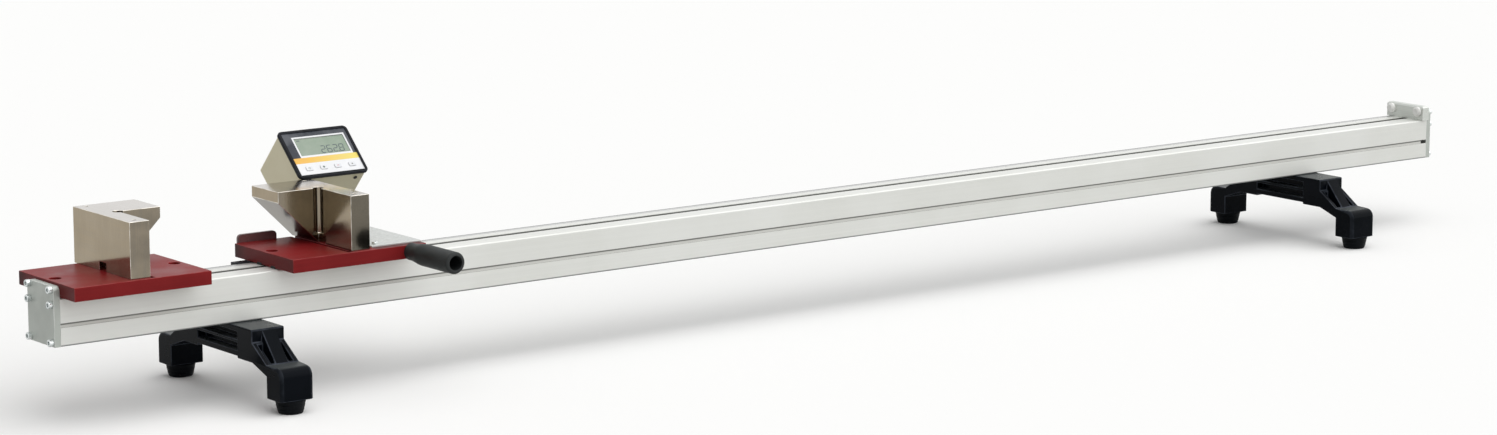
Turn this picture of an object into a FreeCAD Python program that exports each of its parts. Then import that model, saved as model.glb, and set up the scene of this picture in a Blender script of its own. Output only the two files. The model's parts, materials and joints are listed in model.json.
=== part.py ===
"""Bench length gauge: an aluminium rail on two moulded legs, a fixed steel stop at its near end,
a sliding carriage with the second stop, a tilted display console and a grip, and a buffer bar at
its far end. Millimetres. +X runs along the rail from the fixed stop, -Y faces the user, +Z is up,
and the origin is on the floor below the middle of the whole. Pieces are modelled about the rail's middle
plane and are moved to the origin when they are written."""
import FreeCAD, Part
import math
import os

V = FreeCAD.Vector
X_AXIS = V(1, 0, 0)
Y_AXIS = V(0, 1, 0)
Z_AXIS = V(0, 0, 1)

# Rail extrusion
rail_length = 2175.0
rail_width = 62.0
rail_height = 55.0
rail_corner = 2.0
rail_web = 3.0
t_slot_width = 10.0
t_slot_lip = 3.0
t_slot_inner_width = 18.0
t_slot_inner_depth = 7.0
side_slot_level = 24.0
side_slot_width = 5.0
side_slot_lip = 2.2
side_slot_inner_width = 9.0
side_slot_inner_depth = 4.0
side_cover_stop_short = 10.0
side_cover_recess = 0.5
side_cover_flange = 1.2
scale_tape_width = 10.0
scale_tape_thickness = 1.3
scale_tape_edge = 1.5

# End plates and their screws
end_plate_thickness = 8.0
end_plate_height = 69.0
end_plate_corner = 6.0
end_screw_edge = 5.5
end_screw_low = 5.0
end_screw_mid = 48.0
end_screw_high = 65.0
end_screw_depth = 6.0

# Red base plates of the fixed stop and of the carriage
plate_width = 132.0
plate_thickness = 16.0
plate_gap = 1.0
fixed_plate_length = 173.0
carriage_length = 180.0
carriage_rest = 279.4
plate_screw_inset = 11.0
relief_width = 5.0
relief_depth = 3.0
relief_front_wall = 3.0
glide_width = 10.0
glide_front = -20.0
glide_back = 10.8
glide_set_in = 2.0
slot_key_length = 17.0
slot_key_depth = 5.5

# Steel L-shaped stops
stop_arm = 25.0
stop_reach = 79.0
stop_height = 65.0
stop_length = 132.0
stop_rear = 71.2
stop_back_depth = 60.0
stop_nose = 13.0
stop_groove_radius = 6.5
stop_slot_width = 16.5
stop_slot_height = 10.5
stop_slot_past_corner = 1.0
stop_hole_diameter = 5.0
stop_hole_depth = 15.0
stop_hole_front = 12.0
stop_hole_rear = 9.0
stop_screw_front = -44.0
stop_screw_rear = 48.0
fixed_stop_inset = 73.0
moving_stop_inset = 81.4

# Pieces carried under and behind the carriage
keeper_thickness = 12.0
keeper_height = 13.0
keeper_nose = 19.0
keeper_length = 120.0
tab_start = 5.0
tab_length = 52.0
tab_thickness = 4.5
tab_rise = 9.5
tab_drop = 14.0
tab_corner = 5.0
sensor_length = 50.0
sensor_width = 14.0
sensor_height = 9.5
sensor_from_right = 5.0
sensor_air_gap = 0.6

# Grip
grip_from_right = 20.4
grip_length = 94.5
grip_diameter = 26.0
grip_root_diameter = 20.5
grip_root_straight = 5.0
grip_flare = 30.0
grip_end_round = 3.0
grip_bore = 17.0
grip_bore_depth = 58.0
grip_screw_depth = 16.0

# Console bracket
bracket_thickness = 2.0
bracket_start = 112.6
bracket_front_inset = 11.4
bracket_slope_cover = 45.0
bracket_bend = 3.0
bracket_screw_inset = 11.0
bracket_screw_rear = 54.0
bracket_screw_depth = 6.0
bracket_hole_depth = 8.0

# Display console, a tilted box behind the moving stop
console_tilt = 47.0
console_start = 94.4
console_clear = 1.0
console_lift = 1.5
console_depth = 68.0
bezel_width = 96.0
bezel_height = 72.0
bezel_depth = 4.0
bezel_corner = 6.0
bezel_border = 4.0
bezel_lip = 1.2
panel_lap = 1.0
bezel_chamfer = 1.0
panel_thickness = 1.6
case_inset = 2.0
case_corner = 3.0
case_inner_corner = 2.0
case_wall = 2.0
case_post = 7.0
lcd_left = 17.5
lcd_right = 10.3
lcd_low = 33.0
lcd_top = 12.5
lcd_frame = 2.5
lcd_depth = 6.0
lcd_glass_rise = 0.8
board_thickness = 1.8
board_clear = 1.0
battery_side_room = 14.0
battery_height = 30.0
battery_depth = 18.0
battery_corner = 1.5
key_count = 4
key_first = 19.2
key_last = 17.8
key_level = 13.5
key_width = 9.0
key_height = 6.0
key_corner = 1.5
key_proud = 0.9
key_flange = 1.0
key_flange_margin = 1.2
key_stem_width = 4.5
key_stem_height = 3.0
key_to_board = 0.8

# Far buffer bar
buffer_bar_depth = 12.0
buffer_bar_height = 20.0
buffer_bar_overhang = 4.0
buffer_bar_chamfer = 2.0
buffer_spacing = 50.0
buffer_level = 12.0
buffer_diameter = 14.0
buffer_length = 6.0
buffer_round = 2.5
buffer_stud_diameter = 5.0
buffer_stud_length = 5.0

# Moulded legs and rubber feet
leg_from_end = 237.0
leg_height = 90.0
leg_width = 43.0
leg_belly_depth = 35.5
leg_hub_depth = 38.0
leg_hub_outer = 78.0
leg_hub_inner = 45.0
leg_flange = 7.0
leg_rib = 4.0
leg_web = 20.0
leg_arm_drop = 15.0
leg_arm_flange = 6.0
leg_arm_rib = 5.0
leg_arm_recess = 9.0
leg_recess_wall = 2.5
leg_tongue = 2.0
leg_screw_seat = 12.0
leg_nut_length = 30.0
leg_nut_depth = 6.0
foot_spacing = 250.0
foot_block_depth = 32.0
foot_block_height = 38.0
foot_block_round = 11.0
foot_arm_seat = 25.5
foot_height = 16.0
foot_top_diameter = 35.5
foot_base_diameter = 29.0
foot_edge_round = 2.0
foot_recess_diameter = 14.0
foot_recess_depth = 8.0
foot_screw_depth = 18.0

# Fasteners: shank diameter, head diameter and head height
M4 = (4.0, 7.0, 2.6)
M5 = (5.0, 8.5, 5.0)
M6 = (6.0, 10.0, 6.0)
M8 = (8.0, 13.0, 8.0)

# Clearances
screw_clear = 0.15
head_clear = 0.6
head_sink = 0.5
slide_clear = 0.3
glide_clear = 0.2
seat_clear = 0.2
key_clear = 0.3

# How closely an edge's place and direction are matched
edge_tolerance = 0.01

# Places worked out from the sizes above
x_near = -rail_length / 2
x_far = rail_length / 2
rail_half = rail_width / 2
z_rail = leg_height
z_rail_top = z_rail + rail_height
z_plate = z_rail_top + plate_gap
z_plate_top = z_plate + plate_thickness
plate_half = plate_width / 2
plate_mid = z_plate + plate_thickness / 2
x_carriage = x_near + carriage_rest
x_carriage_end = x_carriage + carriage_length
x_fixed_face = x_near + fixed_stop_inset + stop_arm
x_moving_face = x_carriage + moving_stop_inset
stop_front = stop_rear - stop_length
stop_corner = stop_rear - stop_back_depth
end_screw_side = rail_half - end_screw_edge
tape_middle = rail_half - scale_tape_edge - scale_tape_width / 2
lcd_width = bezel_width - lcd_left - lcd_right
lcd_height = bezel_height - lcd_low - lcd_top
key_pitch = (bezel_width - key_first - key_last) / (key_count - 1)
battery_width = bezel_width - 2 * (case_inset + case_wall + battery_side_room)


def box(x0, x1, y0, y1, z0, z1):
    """A block between two opposite corners."""
    return Part.makeBox(x1 - x0, y1 - y0, z1 - z0, V(x0, y0, z0))


def rod(at, along, diameter, length):
    """A round bar that starts at a point and runs along a direction."""
    return Part.makeCylinder(diameter / 2, length, at, along)


def prism(points, length_vector):
    """A straight prism over a closed polygon."""
    return Part.Face(Part.makePolygon(points + points[:1])).extrude(length_vector)


def prism_x(outline, x0, x1):
    """A prism along X over an outline given as (y, z) pairs."""
    return prism([V(x0, y, z) for y, z in outline], V(x1 - x0, 0, 0))


def prism_y(outline, y0, y1):
    """A prism along Y over an outline given as (x, z) pairs."""
    return prism([V(x, y0, z) for x, z in outline], V(0, y1 - y0, 0))


def round_edges(shape, radius, chosen):
    """The shape with the edges that a test picks out rounded."""
    return shape.makeFillet(radius, [edge for edge in shape.Edges if chosen(edge)])


def bevel_edges(shape, size, chosen):
    """The shape with the edges that a test picks out bevelled."""
    return shape.makeChamfer(size, [edge for edge in shape.Edges if chosen(edge)])


def runs_along(edge, axis):
    """True for a straight edge that is parallel to an axis."""
    if not isinstance(edge.Curve, Part.Line):
        return False
    return edge.Curve.Direction.cross(axis).Length < edge_tolerance


def rounded_slab(x0, x1, y0, y1, z0, z1, corner):
    """A block whose four edges along Z are rounded."""
    return round_edges(box(x0, x1, y0, y1, z0, z1), corner, lambda edge: runs_along(edge, Z_AXIS))


def spin_profile(outline, at, along):
    """A turned solid: (radius, height) pairs spun about an axis that starts at a point."""
    wire = Part.makePolygon([V(radius, 0, height) for radius, height in outline + outline[:1]])
    solid = Part.Face(wire).revolve(V(0, 0, 0), Z_AXIS, 360)
    solid.Placement = FreeCAD.Placement(at, FreeCAD.Rotation(Z_AXIS, along))
    return solid


def cap_screw(seat, along, size, length):
    """A cap screw: the head stands off its seat and the shank runs along a direction."""
    shank, head, head_height = size
    return rod(seat, along, shank, length).fuse(rod(seat, along * -1, head, head_height)).removeSplitter()


def screw_hole(seat, along, size, length):
    """The clear hole of a screw's shank."""
    return rod(seat, along, size[0] + 2 * screw_clear, length)


def head_pocket(mouth, along, size):
    """The counterbore that takes a screw's head below a surface."""
    return rod(mouth, along, size[1] + 2 * head_clear, size[2] + head_sink)


def cut_all(shape, tools):
    """The shape with a list of tools cut away."""
    return shape.cut(Part.makeCompound(tools)) if tools else shape


def mirrored_x(shape, x):
    """The shape mirrored across the plane at one X."""
    return shape.mirror(V(x, 0, 0), X_AXIS)


def mirrored_y(shape):
    """The shape mirrored across the rail's middle plane."""
    return shape.mirror(V(0, 0, 0), Y_AXIS)


# Rail

def t_slot_tool(level, upward):
    """The T-shaped groove along the top or the bottom of the rail."""
    side = 1 if upward else -1
    lip = level - side * t_slot_lip
    floor = lip - side * t_slot_inner_depth
    neck = box(x_near, x_far, -t_slot_width / 2, t_slot_width / 2, min(level, lip), max(level, lip))
    inner = box(x_near, x_far, -t_slot_inner_width / 2, t_slot_inner_width / 2,
                min(lip, floor), max(lip, floor))
    return [neck, inner]


def side_slot_tool(side):
    """The narrow groove along the front or the back of the rail."""
    level = z_rail + side_slot_level
    lip = side * (rail_half - side_slot_lip)
    floor = lip - side * side_slot_inner_depth
    outside = side * rail_half
    mouth = box(x_near, x_far, min(lip, outside), max(lip, outside),
                level - side_slot_width / 2, level + side_slot_width / 2)
    inner = box(x_near, x_far, min(lip, floor), max(lip, floor),
                level - side_slot_inner_width / 2, level + side_slot_inner_width / 2)
    return [mouth, inner]


def hollow_tools():
    """The chambers inside the extrusion: a middle one, and a wider one above and below the side grooves."""
    slot_level = z_rail + side_slot_level
    low = z_rail + t_slot_lip + t_slot_inner_depth + rail_web
    high = z_rail_top - t_slot_lip - t_slot_inner_depth - rail_web
    narrow = rail_half - side_slot_lip - side_slot_inner_depth - rail_web
    wide = rail_half - rail_web
    below = slot_level - side_slot_inner_width / 2 - rail_web
    above = slot_level + side_slot_inner_width / 2 + rail_web
    chambers = [box(x_near, x_far, -narrow, narrow, low, high)]
    if high > above:
        chambers.append(box(x_near, x_far, -wide, wide, above, high))
    if below > low:
        chambers.append(box(x_near, x_far, -wide, wide, low, below))
    return chambers


def rail_screw_channels():
    """The four screw channels in the corners of the extrusion."""
    return [screw_hole(V(x_near, side * end_screw_side, z_rail + level), X_AXIS, M5, rail_length)
            for side in (-1, 1) for level in (end_screw_low, end_screw_mid)]


def make_rail():
    """The extrusion, with its grooves, chambers and the bed of the scale tape."""
    body = box(x_near, x_far, -rail_half, rail_half, z_rail, z_rail_top)
    body = round_edges(body, rail_corner, lambda edge: runs_along(edge, X_AXIS))
    bed_half = scale_tape_width / 2 + seat_clear
    tape_bed = box(x_near, x_far, tape_middle - bed_half, tape_middle + bed_half,
                   z_rail_top - scale_tape_thickness, z_rail_top)
    tools = t_slot_tool(z_rail_top, True) + t_slot_tool(z_rail, False) + [tape_bed]
    tools += side_slot_tool(-1) + side_slot_tool(1) + hollow_tools() + rail_screw_channels()
    return cut_all(body, tools)


def make_scale_tape():
    """The magnetic scale tape, glued flush in its bed on the rail's rear land."""
    return box(x_near, x_far, tape_middle - scale_tape_width / 2, tape_middle + scale_tape_width / 2,
               z_rail_top - scale_tape_thickness, z_rail_top)


def make_slot_cover(side):
    """A snap-in strip that closes a side groove and stops short of the far end."""
    level = z_rail + side_slot_level
    face = side * (rail_half - side_cover_recess)
    lip = side * (rail_half - side_slot_lip)
    back = lip - side * side_cover_flange
    half = side_slot_width / 2 - seat_clear
    flange_half = side_slot_inner_width / 2 - seat_clear
    end = x_far - side_cover_stop_short
    front_part = box(x_near, end, min(face, lip), max(face, lip), level - half, level + half)
    rear_part = box(x_near, end, min(lip, back), max(lip, back), level - flange_half, level + flange_half)
    return front_part.fuse(rear_part).removeSplitter()


# End plates

def end_screw_places():
    """(y, z) of the six screws of an end plate."""
    return [(side * end_screw_side, z_rail + level)
            for side in (-1, 1) for level in (end_screw_low, end_screw_mid, end_screw_high)]


def make_end_plate(x_face, outward):
    """An end plate on one end of the rail, with rounded top corners and six screw holes."""
    x_outer = x_face + outward * end_plate_thickness
    top = z_rail + end_plate_height
    plate = box(min(x_face, x_outer), max(x_face, x_outer), -rail_half, rail_half, z_rail, top)
    plate = round_edges(plate, end_plate_corner,
                        lambda edge: runs_along(edge, X_AXIS) and edge.CenterOfMass.z > top - edge_tolerance)
    holes = [screw_hole(V(x_outer, y, z), V(-outward, 0, 0), M5, end_plate_thickness)
             for y, z in end_screw_places()]
    return cut_all(plate, holes)


def make_end_screws(x_face, outward):
    """The six socket screws of an end plate."""
    seat = x_face + outward * end_plate_thickness
    length = end_plate_thickness + end_screw_depth
    return Part.makeCompound([cap_screw(V(seat, y, z), V(-outward, 0, 0), M5, length)
                              for y, z in end_screw_places()])


def end_screw_sockets(x_face, inward):
    """The holes of an end plate's top row in the piece that stands on the rail behind it."""
    return [screw_hole(V(x_face, side * end_screw_side, z_rail + end_screw_high), V(inward, 0, 0), M5,
                       end_screw_depth + screw_clear) for side in (-1, 1)]


# Base plates

def glide_grooves(x0, x1):
    """The two shallow grooves under a base plate that hold its strips."""
    half = glide_width / 2 + seat_clear
    return [box(x0, x1, middle - half, middle + half, z_plate, z_plate + glide_set_in)
            for middle in (glide_front, glide_back)]


def make_strips(x0, x1, foot_level):
    """The two plastic strips under a base plate."""
    half = glide_width / 2
    return Part.makeCompound([box(x0, x1, middle - half, middle + half, foot_level, z_plate + glide_set_in)
                              for middle in (glide_front, glide_back)])


def slot_screw_places(x0, x1):
    """X of the two screws that hold a base plate in the rail's top groove."""
    return [x0 + plate_screw_inset, x1 - plate_screw_inset]


def slot_screw_holes(x0, x1):
    """Counterbored holes in a base plate for the screws into the top groove."""
    tools = []
    for x in slot_screw_places(x0, x1):
        tools.append(head_pocket(V(x, 0, z_plate_top), Z_AXIS * -1, M8))
        tools.append(screw_hole(V(x, 0, z_plate), Z_AXIS, M8, plate_thickness))
    return tools


def make_slot_screws(x0, x1, foot_level):
    """The two screws that pass through a base plate into its nuts or keys."""
    seat = z_plate_top - M8[2] - head_sink
    return Part.makeCompound([cap_screw(V(x, 0, seat), Z_AXIS * -1, M8, seat - foot_level)
                              for x in slot_screw_places(x0, x1)])


def stop_screw_holes(x_middle):
    """Counterbored holes under a base plate for the screws of its steel stop."""
    tools = []
    for y in (stop_screw_front, stop_screw_rear):
        tools.append(head_pocket(V(x_middle, y, z_plate), Z_AXIS, M8))
        tools.append(screw_hole(V(x_middle, y, z_plate), Z_AXIS, M8, plate_thickness))
    return tools


def make_stop_screws(x_middle):
    """The two screws that hold a steel stop on its base plate from below."""
    seat = z_plate + M8[2] + head_sink
    length = plate_thickness - M8[2] - head_sink + stop_hole_depth
    return Part.makeCompound([cap_screw(V(x_middle, y, seat), Z_AXIS, M8, length)
                              for y in (stop_screw_front, stop_screw_rear)])


def relief_tool(x_face, side):
    """The dirt groove in a base plate along the foot of the stop face."""
    x_other = x_face + side * relief_width
    return box(min(x_face, x_other), max(x_face, x_other), -plate_half + relief_front_wall, plate_half,
               z_plate_top - relief_depth, z_plate_top)


def make_fixed_plate():
    """The base plate of the fixed stop, against the near end plate."""
    x_end = x_near + fixed_plate_length
    plate = box(x_near, x_end, -plate_half, plate_half, z_plate, z_plate_top)
    tools = glide_grooves(x_near, x_end) + slot_screw_holes(x_near, x_end)
    tools += stop_screw_holes(x_fixed_face - stop_arm / 2) + [relief_tool(x_fixed_face, 1)]
    return cut_all(plate, tools + end_screw_sockets(x_near, 1))


def make_fixed_plate_nuts():
    """The two nuts in the rail's top groove that clamp the fixed plate."""
    top = z_rail_top - t_slot_lip
    half = t_slot_inner_width / 2 - slide_clear
    nuts = []
    for x in slot_screw_places(x_near, x_near + fixed_plate_length):
        nut = box(x - slot_key_length / 2, x + slot_key_length / 2, -half, half, top - slot_key_depth, top)
        nuts.append(nut.cut(screw_hole(V(x, 0, top - slot_key_depth), Z_AXIS, M8, slot_key_depth)))
    return Part.makeCompound(nuts)


# Steel stops

def make_stop(x_face, side):
    """An L-shaped stop. Its stop face is at x_face and looks to the given side, and its rear arm
    reaches that way over a slanted undercut. A round groove relieves the inner corner."""
    outer = x_face - stop_arm
    tip = outer + stop_reach
    base, top = z_plate_top, z_plate_top + stop_height
    arm = box(outer, x_face, stop_front, stop_rear, base, top)
    wing_outline = [(x_face, base), (tip, top - stop_nose), (tip, top), (x_face, top)]
    wing = prism_y(wing_outline, stop_corner, stop_rear)
    slot_top = base + stop_slot_height
    slot_end = stop_corner + stop_slot_past_corner
    tools = [rod(V(x_face, stop_corner, slot_top), Z_AXIS, 2 * stop_groove_radius, stop_height),
             box(outer, x_face, slot_end - stop_slot_width, slot_end, base, slot_top)]
    middle = outer + stop_arm / 2
    for y in (stop_front + stop_hole_front, stop_rear - stop_hole_rear):
        tools.append(rod(V(middle, y, top), Z_AXIS * -1, stop_hole_diameter, stop_hole_depth))
    for y in (stop_screw_front, stop_screw_rear):
        tools.append(screw_hole(V(middle, y, base), Z_AXIS, M8, stop_hole_depth + screw_clear))
    stop = cut_all(arm.fuse(wing).removeSplitter(), tools)
    return stop if side > 0 else mirrored_x(stop, x_face)


# Carriage

def grip_middle():
    """X of the grip's axis."""
    return x_carriage_end - grip_from_right


def sensor_span():
    """Low and high X of the sensor head."""
    high = x_carriage_end - sensor_from_right
    return high - sensor_length, high


def bracket_screw_places():
    """(x, y) of the three screws of the console bracket: one in front and two behind."""
    low, high = x_carriage + bracket_start + bracket_screw_inset, x_carriage_end - bracket_screw_inset
    front = -plate_half + bracket_front_inset + bracket_screw_inset
    return [(low, front), (low, bracket_screw_rear), (high, bracket_screw_rear)]


def make_carriage_plate():
    """The sliding base plate, with the seats of everything that it carries."""
    plate = box(x_carriage, x_carriage_end, -plate_half, plate_half, z_plate, z_plate_top)
    tools = glide_grooves(x_carriage, x_carriage_end) + slot_screw_holes(x_carriage, x_carriage_end)
    tools += stop_screw_holes(x_moving_face + stop_arm / 2) + [relief_tool(x_moving_face, -1)]
    low, high = sensor_span()
    sensor_half = sensor_width / 2 + seat_clear
    tools.append(box(low - seat_clear, high + seat_clear,
                     tape_middle - sensor_half, tape_middle + sensor_half,
                     z_plate, z_rail_top + sensor_air_gap + sensor_height))
    tools.append(screw_hole(V(grip_middle(), -plate_half, plate_mid), Y_AXIS, M8,
                            grip_screw_depth + screw_clear))
    tools += [screw_hole(V(x, y, z_plate_top), Z_AXIS * -1, M4, bracket_hole_depth)
              for x, y in bracket_screw_places()]
    return cut_all(plate, tools)


def make_slot_keys():
    """The two T-shaped keys that run in the rail's top groove and hold the carriage down."""
    lip = z_rail_top - t_slot_lip - slide_clear
    neck = t_slot_width / 2 - slide_clear
    head = t_slot_inner_width / 2 - slide_clear
    low = lip - slot_key_depth
    outline = [(-neck, z_plate), (neck, z_plate), (neck, lip), (head, lip), (head, low),
               (-head, low), (-head, lip), (-neck, lip)]
    keys = []
    for x in slot_screw_places(x_carriage, x_carriage_end):
        key = prism_x(outline, x - slot_key_length / 2, x + slot_key_length / 2)
        keys.append(key.cut(screw_hole(V(x, 0, low), Z_AXIS, M8, z_plate - low)))
    return Part.makeCompound(keys)


def keeper_middle():
    """Y of the middle of the keeper bar, just behind the rail."""
    return rail_half + slide_clear + keeper_thickness / 2


def make_keeper_bar():
    """The bar that runs behind the rail under the carriage, its nose clear of the fixed plate."""
    x0 = x_carriage - keeper_nose
    outline = [(x0, z_plate - keeper_height), (x_carriage + keeper_length, z_plate - keeper_height),
               (x_carriage + keeper_length, z_plate), (x_carriage, z_plate),
               (x_carriage, z_plate - slide_clear), (x0, z_plate - slide_clear)]
    half = keeper_thickness / 2
    return prism_y(outline, keeper_middle() - half, keeper_middle() + half)


def make_rear_tab():
    """The upright tab with rounded top corners on the carriage's rear edge."""
    x0 = x_carriage + tab_start
    top = z_plate_top + tab_rise
    tab = box(x0, x0 + tab_length, plate_half, plate_half + tab_thickness, z_plate_top - tab_drop, top)
    return round_edges(tab, tab_corner,
                       lambda edge: runs_along(edge, Y_AXIS) and edge.CenterOfMass.z > top - edge_tolerance)


def make_sensor():
    """The sensor head, let into the carriage just above the scale tape."""
    low, high = sensor_span()
    z0 = z_rail_top + sensor_air_gap
    half = sensor_width / 2
    return box(low, high, tape_middle - half, tape_middle + half, z0, z0 + sensor_height)


def s_curve(r0, h0, r1, h1):
    """Two equal arcs that swing from one radius to another and leave both along the axis."""
    step_r, step_h = (r1 - r0) / 2, (h1 - h0) / 2
    radius = (step_r ** 2 + step_h ** 2) / (2 * step_r)
    turn = math.asin(step_h / radius) / 2
    mid_r, mid_h = radius * (1 - math.cos(turn)), radius * math.sin(turn)
    inflection = V(r0 + step_r, 0, h0 + step_h)
    first = Part.Arc(V(r0, 0, h0), V(r0 + mid_r, 0, h0 + mid_h), inflection)
    second = Part.Arc(inflection, V(r1 - mid_r, 0, h1 - mid_h), V(r1, 0, h1))
    return [first.toShape(), second.toShape()]


def make_grip():
    """The hollow grip, flared from a slim root, with a rounded open end."""
    root, full, bore = grip_root_diameter / 2, grip_diameter / 2, grip_bore / 2
    hole = M8[0] / 2 + screw_clear
    floor = grip_length - grip_bore_depth
    straight = [V(full, 0, grip_flare), V(full, 0, grip_length), V(bore, 0, grip_length), V(bore, 0, floor),
                V(hole, 0, floor), V(hole, 0, 0), V(root, 0, 0), V(root, 0, grip_root_straight)]
    edges = s_curve(root, grip_root_straight, full, grip_flare) + Part.makePolygon(straight).Edges
    grip = Part.Face(Part.Wire(Part.__sortEdges__(edges))).revolve(V(0, 0, 0), Z_AXIS, 360)
    grip = round_edges(grip, grip_end_round, lambda edge: edge.BoundBox.ZMin > grip_length - edge_tolerance
                       and edge.BoundBox.XLength > grip_bore + edge_tolerance)
    foot = V(grip_middle(), -plate_half, plate_mid)
    grip.Placement = FreeCAD.Placement(foot, FreeCAD.Rotation(Z_AXIS, Y_AXIS * -1))
    return grip


def make_grip_screw():
    """The screw inside the grip that holds it on the carriage's front edge."""
    floor = -plate_half - grip_length + grip_bore_depth
    length = grip_length - grip_bore_depth + grip_screw_depth
    return cap_screw(V(grip_middle(), floor, plate_mid), Y_AXIS, M8, length)


# Console

def console_placement():
    """The console's own frame: x along its width, y up its face and z out of its face."""
    origin = V(x_carriage + console_start, stop_rear + console_clear,
               z_plate_top + stop_height + console_lift)
    return FreeCAD.Placement(origin, FreeCAD.Rotation(X_AXIS, 90 - console_tilt))


def on_console(shape):
    """A piece modelled in the console's own frame, put in its place."""
    return shape.transformed(console_placement().Matrix)


def key_places():
    """Middles of the keys on the console's face."""
    return [(key_first + number * key_pitch, key_level) for number in range(key_count)]


def make_bezel():
    """The black frame round the console's face, with a lip that holds the front panel."""
    frame = rounded_slab(0, bezel_width, 0, bezel_height, -bezel_depth, 0, bezel_corner)
    frame = bevel_edges(frame, bezel_chamfer, lambda edge: edge.BoundBox.ZMin > -edge_tolerance)
    window = box(bezel_border, bezel_width - bezel_border, bezel_border, bezel_height - bezel_border,
                 -bezel_depth, 0)
    room = bezel_border - panel_lap - seat_clear
    recess = box(room, bezel_width - room, room, bezel_height - room, -bezel_depth, -bezel_lip)
    return frame.cut(window).cut(recess)


def make_panel():
    """The front panel, with the display window and the key holes."""
    edge = bezel_border - panel_lap
    back = -bezel_lip - panel_thickness
    panel = box(edge, bezel_width - edge, edge, bezel_height - edge, back, -bezel_lip)
    window = box(lcd_left, lcd_left + lcd_width, lcd_low, lcd_low + lcd_height, back, -bezel_lip)
    half_w, half_h = key_width / 2 + key_clear, key_height / 2 + key_clear
    corner = key_corner + key_clear
    holes = [rounded_slab(x - half_w, x + half_w, y - half_h, y + half_h, back, -bezel_lip, corner)
             for x, y in key_places()]
    return cut_all(panel, [window] + holes)


def make_lcd():
    """The display module, seated behind the panel's window."""
    front = -bezel_lip - panel_thickness
    body = box(lcd_left - lcd_frame, lcd_left + lcd_width + lcd_frame, lcd_low - lcd_frame,
               lcd_low + lcd_height + lcd_frame, front - lcd_depth, front)
    glass = box(lcd_left + seat_clear, lcd_left + lcd_width - seat_clear, lcd_low + seat_clear,
                lcd_low + lcd_height - seat_clear, front, front + lcd_glass_rise)
    return body.fuse(glass).removeSplitter()


def board_front():
    """Depth of the circuit board's front face."""
    return -bezel_lip - panel_thickness - lcd_depth


def make_key(x, y):
    """A short-travel key cap with a flange behind the panel."""
    front = -bezel_lip + key_proud
    behind = -bezel_lip - panel_thickness - key_clear
    end = board_front() + key_to_board
    half_w, half_h, margin = key_width / 2, key_height / 2, key_flange_margin
    cap = rounded_slab(x - half_w, x + half_w, y - half_h, y + half_h, behind, front, key_corner)
    flange = box(x - half_w - margin, x + half_w + margin, y - half_h - margin, y + half_h + margin,
                 behind - key_flange, behind)
    stem = box(x - key_stem_width / 2, x + key_stem_width / 2,
               y - key_stem_height / 2, y + key_stem_height / 2, end, behind - key_flange)
    return cap.fuse([flange, stem]).removeSplitter()


def case_box(inset, front, rear, corner):
    """A rounded box inside the outline of the console's case."""
    edge = case_inset + inset
    return rounded_slab(edge, bezel_width - edge, edge, bezel_height - edge, rear, front, corner)


def make_case():
    """The metal case: an open-fronted box with four posts for the circuit board."""
    case = case_box(0, -bezel_depth, -console_depth, case_corner)
    room = case_box(case_wall, -bezel_depth, -console_depth + case_wall, case_inner_corner)
    case = case.cut(room)
    low = case_inset + case_wall
    rear = -console_depth + case_wall
    for x in (low, bezel_width - low - case_post):
        for y in (low, bezel_height - low - case_post):
            case = case.fuse(box(x, x + case_post, y, y + case_post, rear, board_front() - board_thickness))
    return case.removeSplitter()


def make_board():
    """The circuit board, seated on the case's posts."""
    edge = case_inset + case_wall + board_clear
    front = board_front()
    return box(edge, bezel_width - edge, edge, bezel_height - edge, front - board_thickness, front)


def make_battery():
    """The battery pack, on the case's rear wall."""
    x0 = (bezel_width - battery_width) / 2
    y0 = bezel_height - case_inset - case_wall - board_clear - battery_height
    rear = -console_depth + case_wall
    return rounded_slab(x0, x0 + battery_width, y0, y0 + battery_height, rear, rear + battery_depth,
                        battery_corner)


def make_bracket():
    """The bent bracket: a flange on the carriage and a sloped flange behind the case."""
    placement = console_placement()
    up = placement.Rotation.multVec(Y_AXIS)
    out = placement.Rotation.multVec(Z_AXIS)
    top = z_plate_top + bracket_thickness
    rear_foot = placement.multVec(V(0, 0, -console_depth))
    rear_foot_low = rear_foot - out * bracket_thickness
    bend = rear_foot - up * ((rear_foot.z - top) / up.z)
    bend_low = rear_foot_low - up * ((rear_foot_low.z - z_plate_top) / up.z)
    end = rear_foot + up * bracket_slope_cover
    end_low = end - out * bracket_thickness
    front = -plate_half + bracket_front_inset
    outline = [(front, z_plate_top), (front, top), (bend.y, bend.z), (end.y, end.z), (end_low.y, end_low.z),
               (bend_low.y, bend_low.z)]
    low, high = x_carriage + bracket_start, x_carriage_end
    sheet = prism_x(outline, low, high)
    sheet = round_edges(sheet, bracket_bend, lambda edge: edge_through(edge, bend))
    sheet = round_edges(sheet, bracket_bend + bracket_thickness, lambda edge: edge_through(edge, bend_low))
    holes = [screw_hole(V(x, y, z_plate_top), Z_AXIS, M4, bracket_thickness)
             for x, y in bracket_screw_places()]
    return cut_all(sheet, holes)


def edge_through(edge, point):
    """True for an edge along X that lies in line with a point."""
    away = edge.CenterOfMass - point
    return runs_along(edge, X_AXIS) and math.hypot(away.y, away.z) < edge_tolerance


def make_bracket_screws():
    """The three screws that hold the bracket on the carriage."""
    seat = z_plate_top + bracket_thickness
    length = bracket_thickness + bracket_screw_depth
    return Part.makeCompound([cap_screw(V(x, y, seat), Z_AXIS * -1, M4, length)
                              for x, y in bracket_screw_places()])


# Far buffer bar

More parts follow.
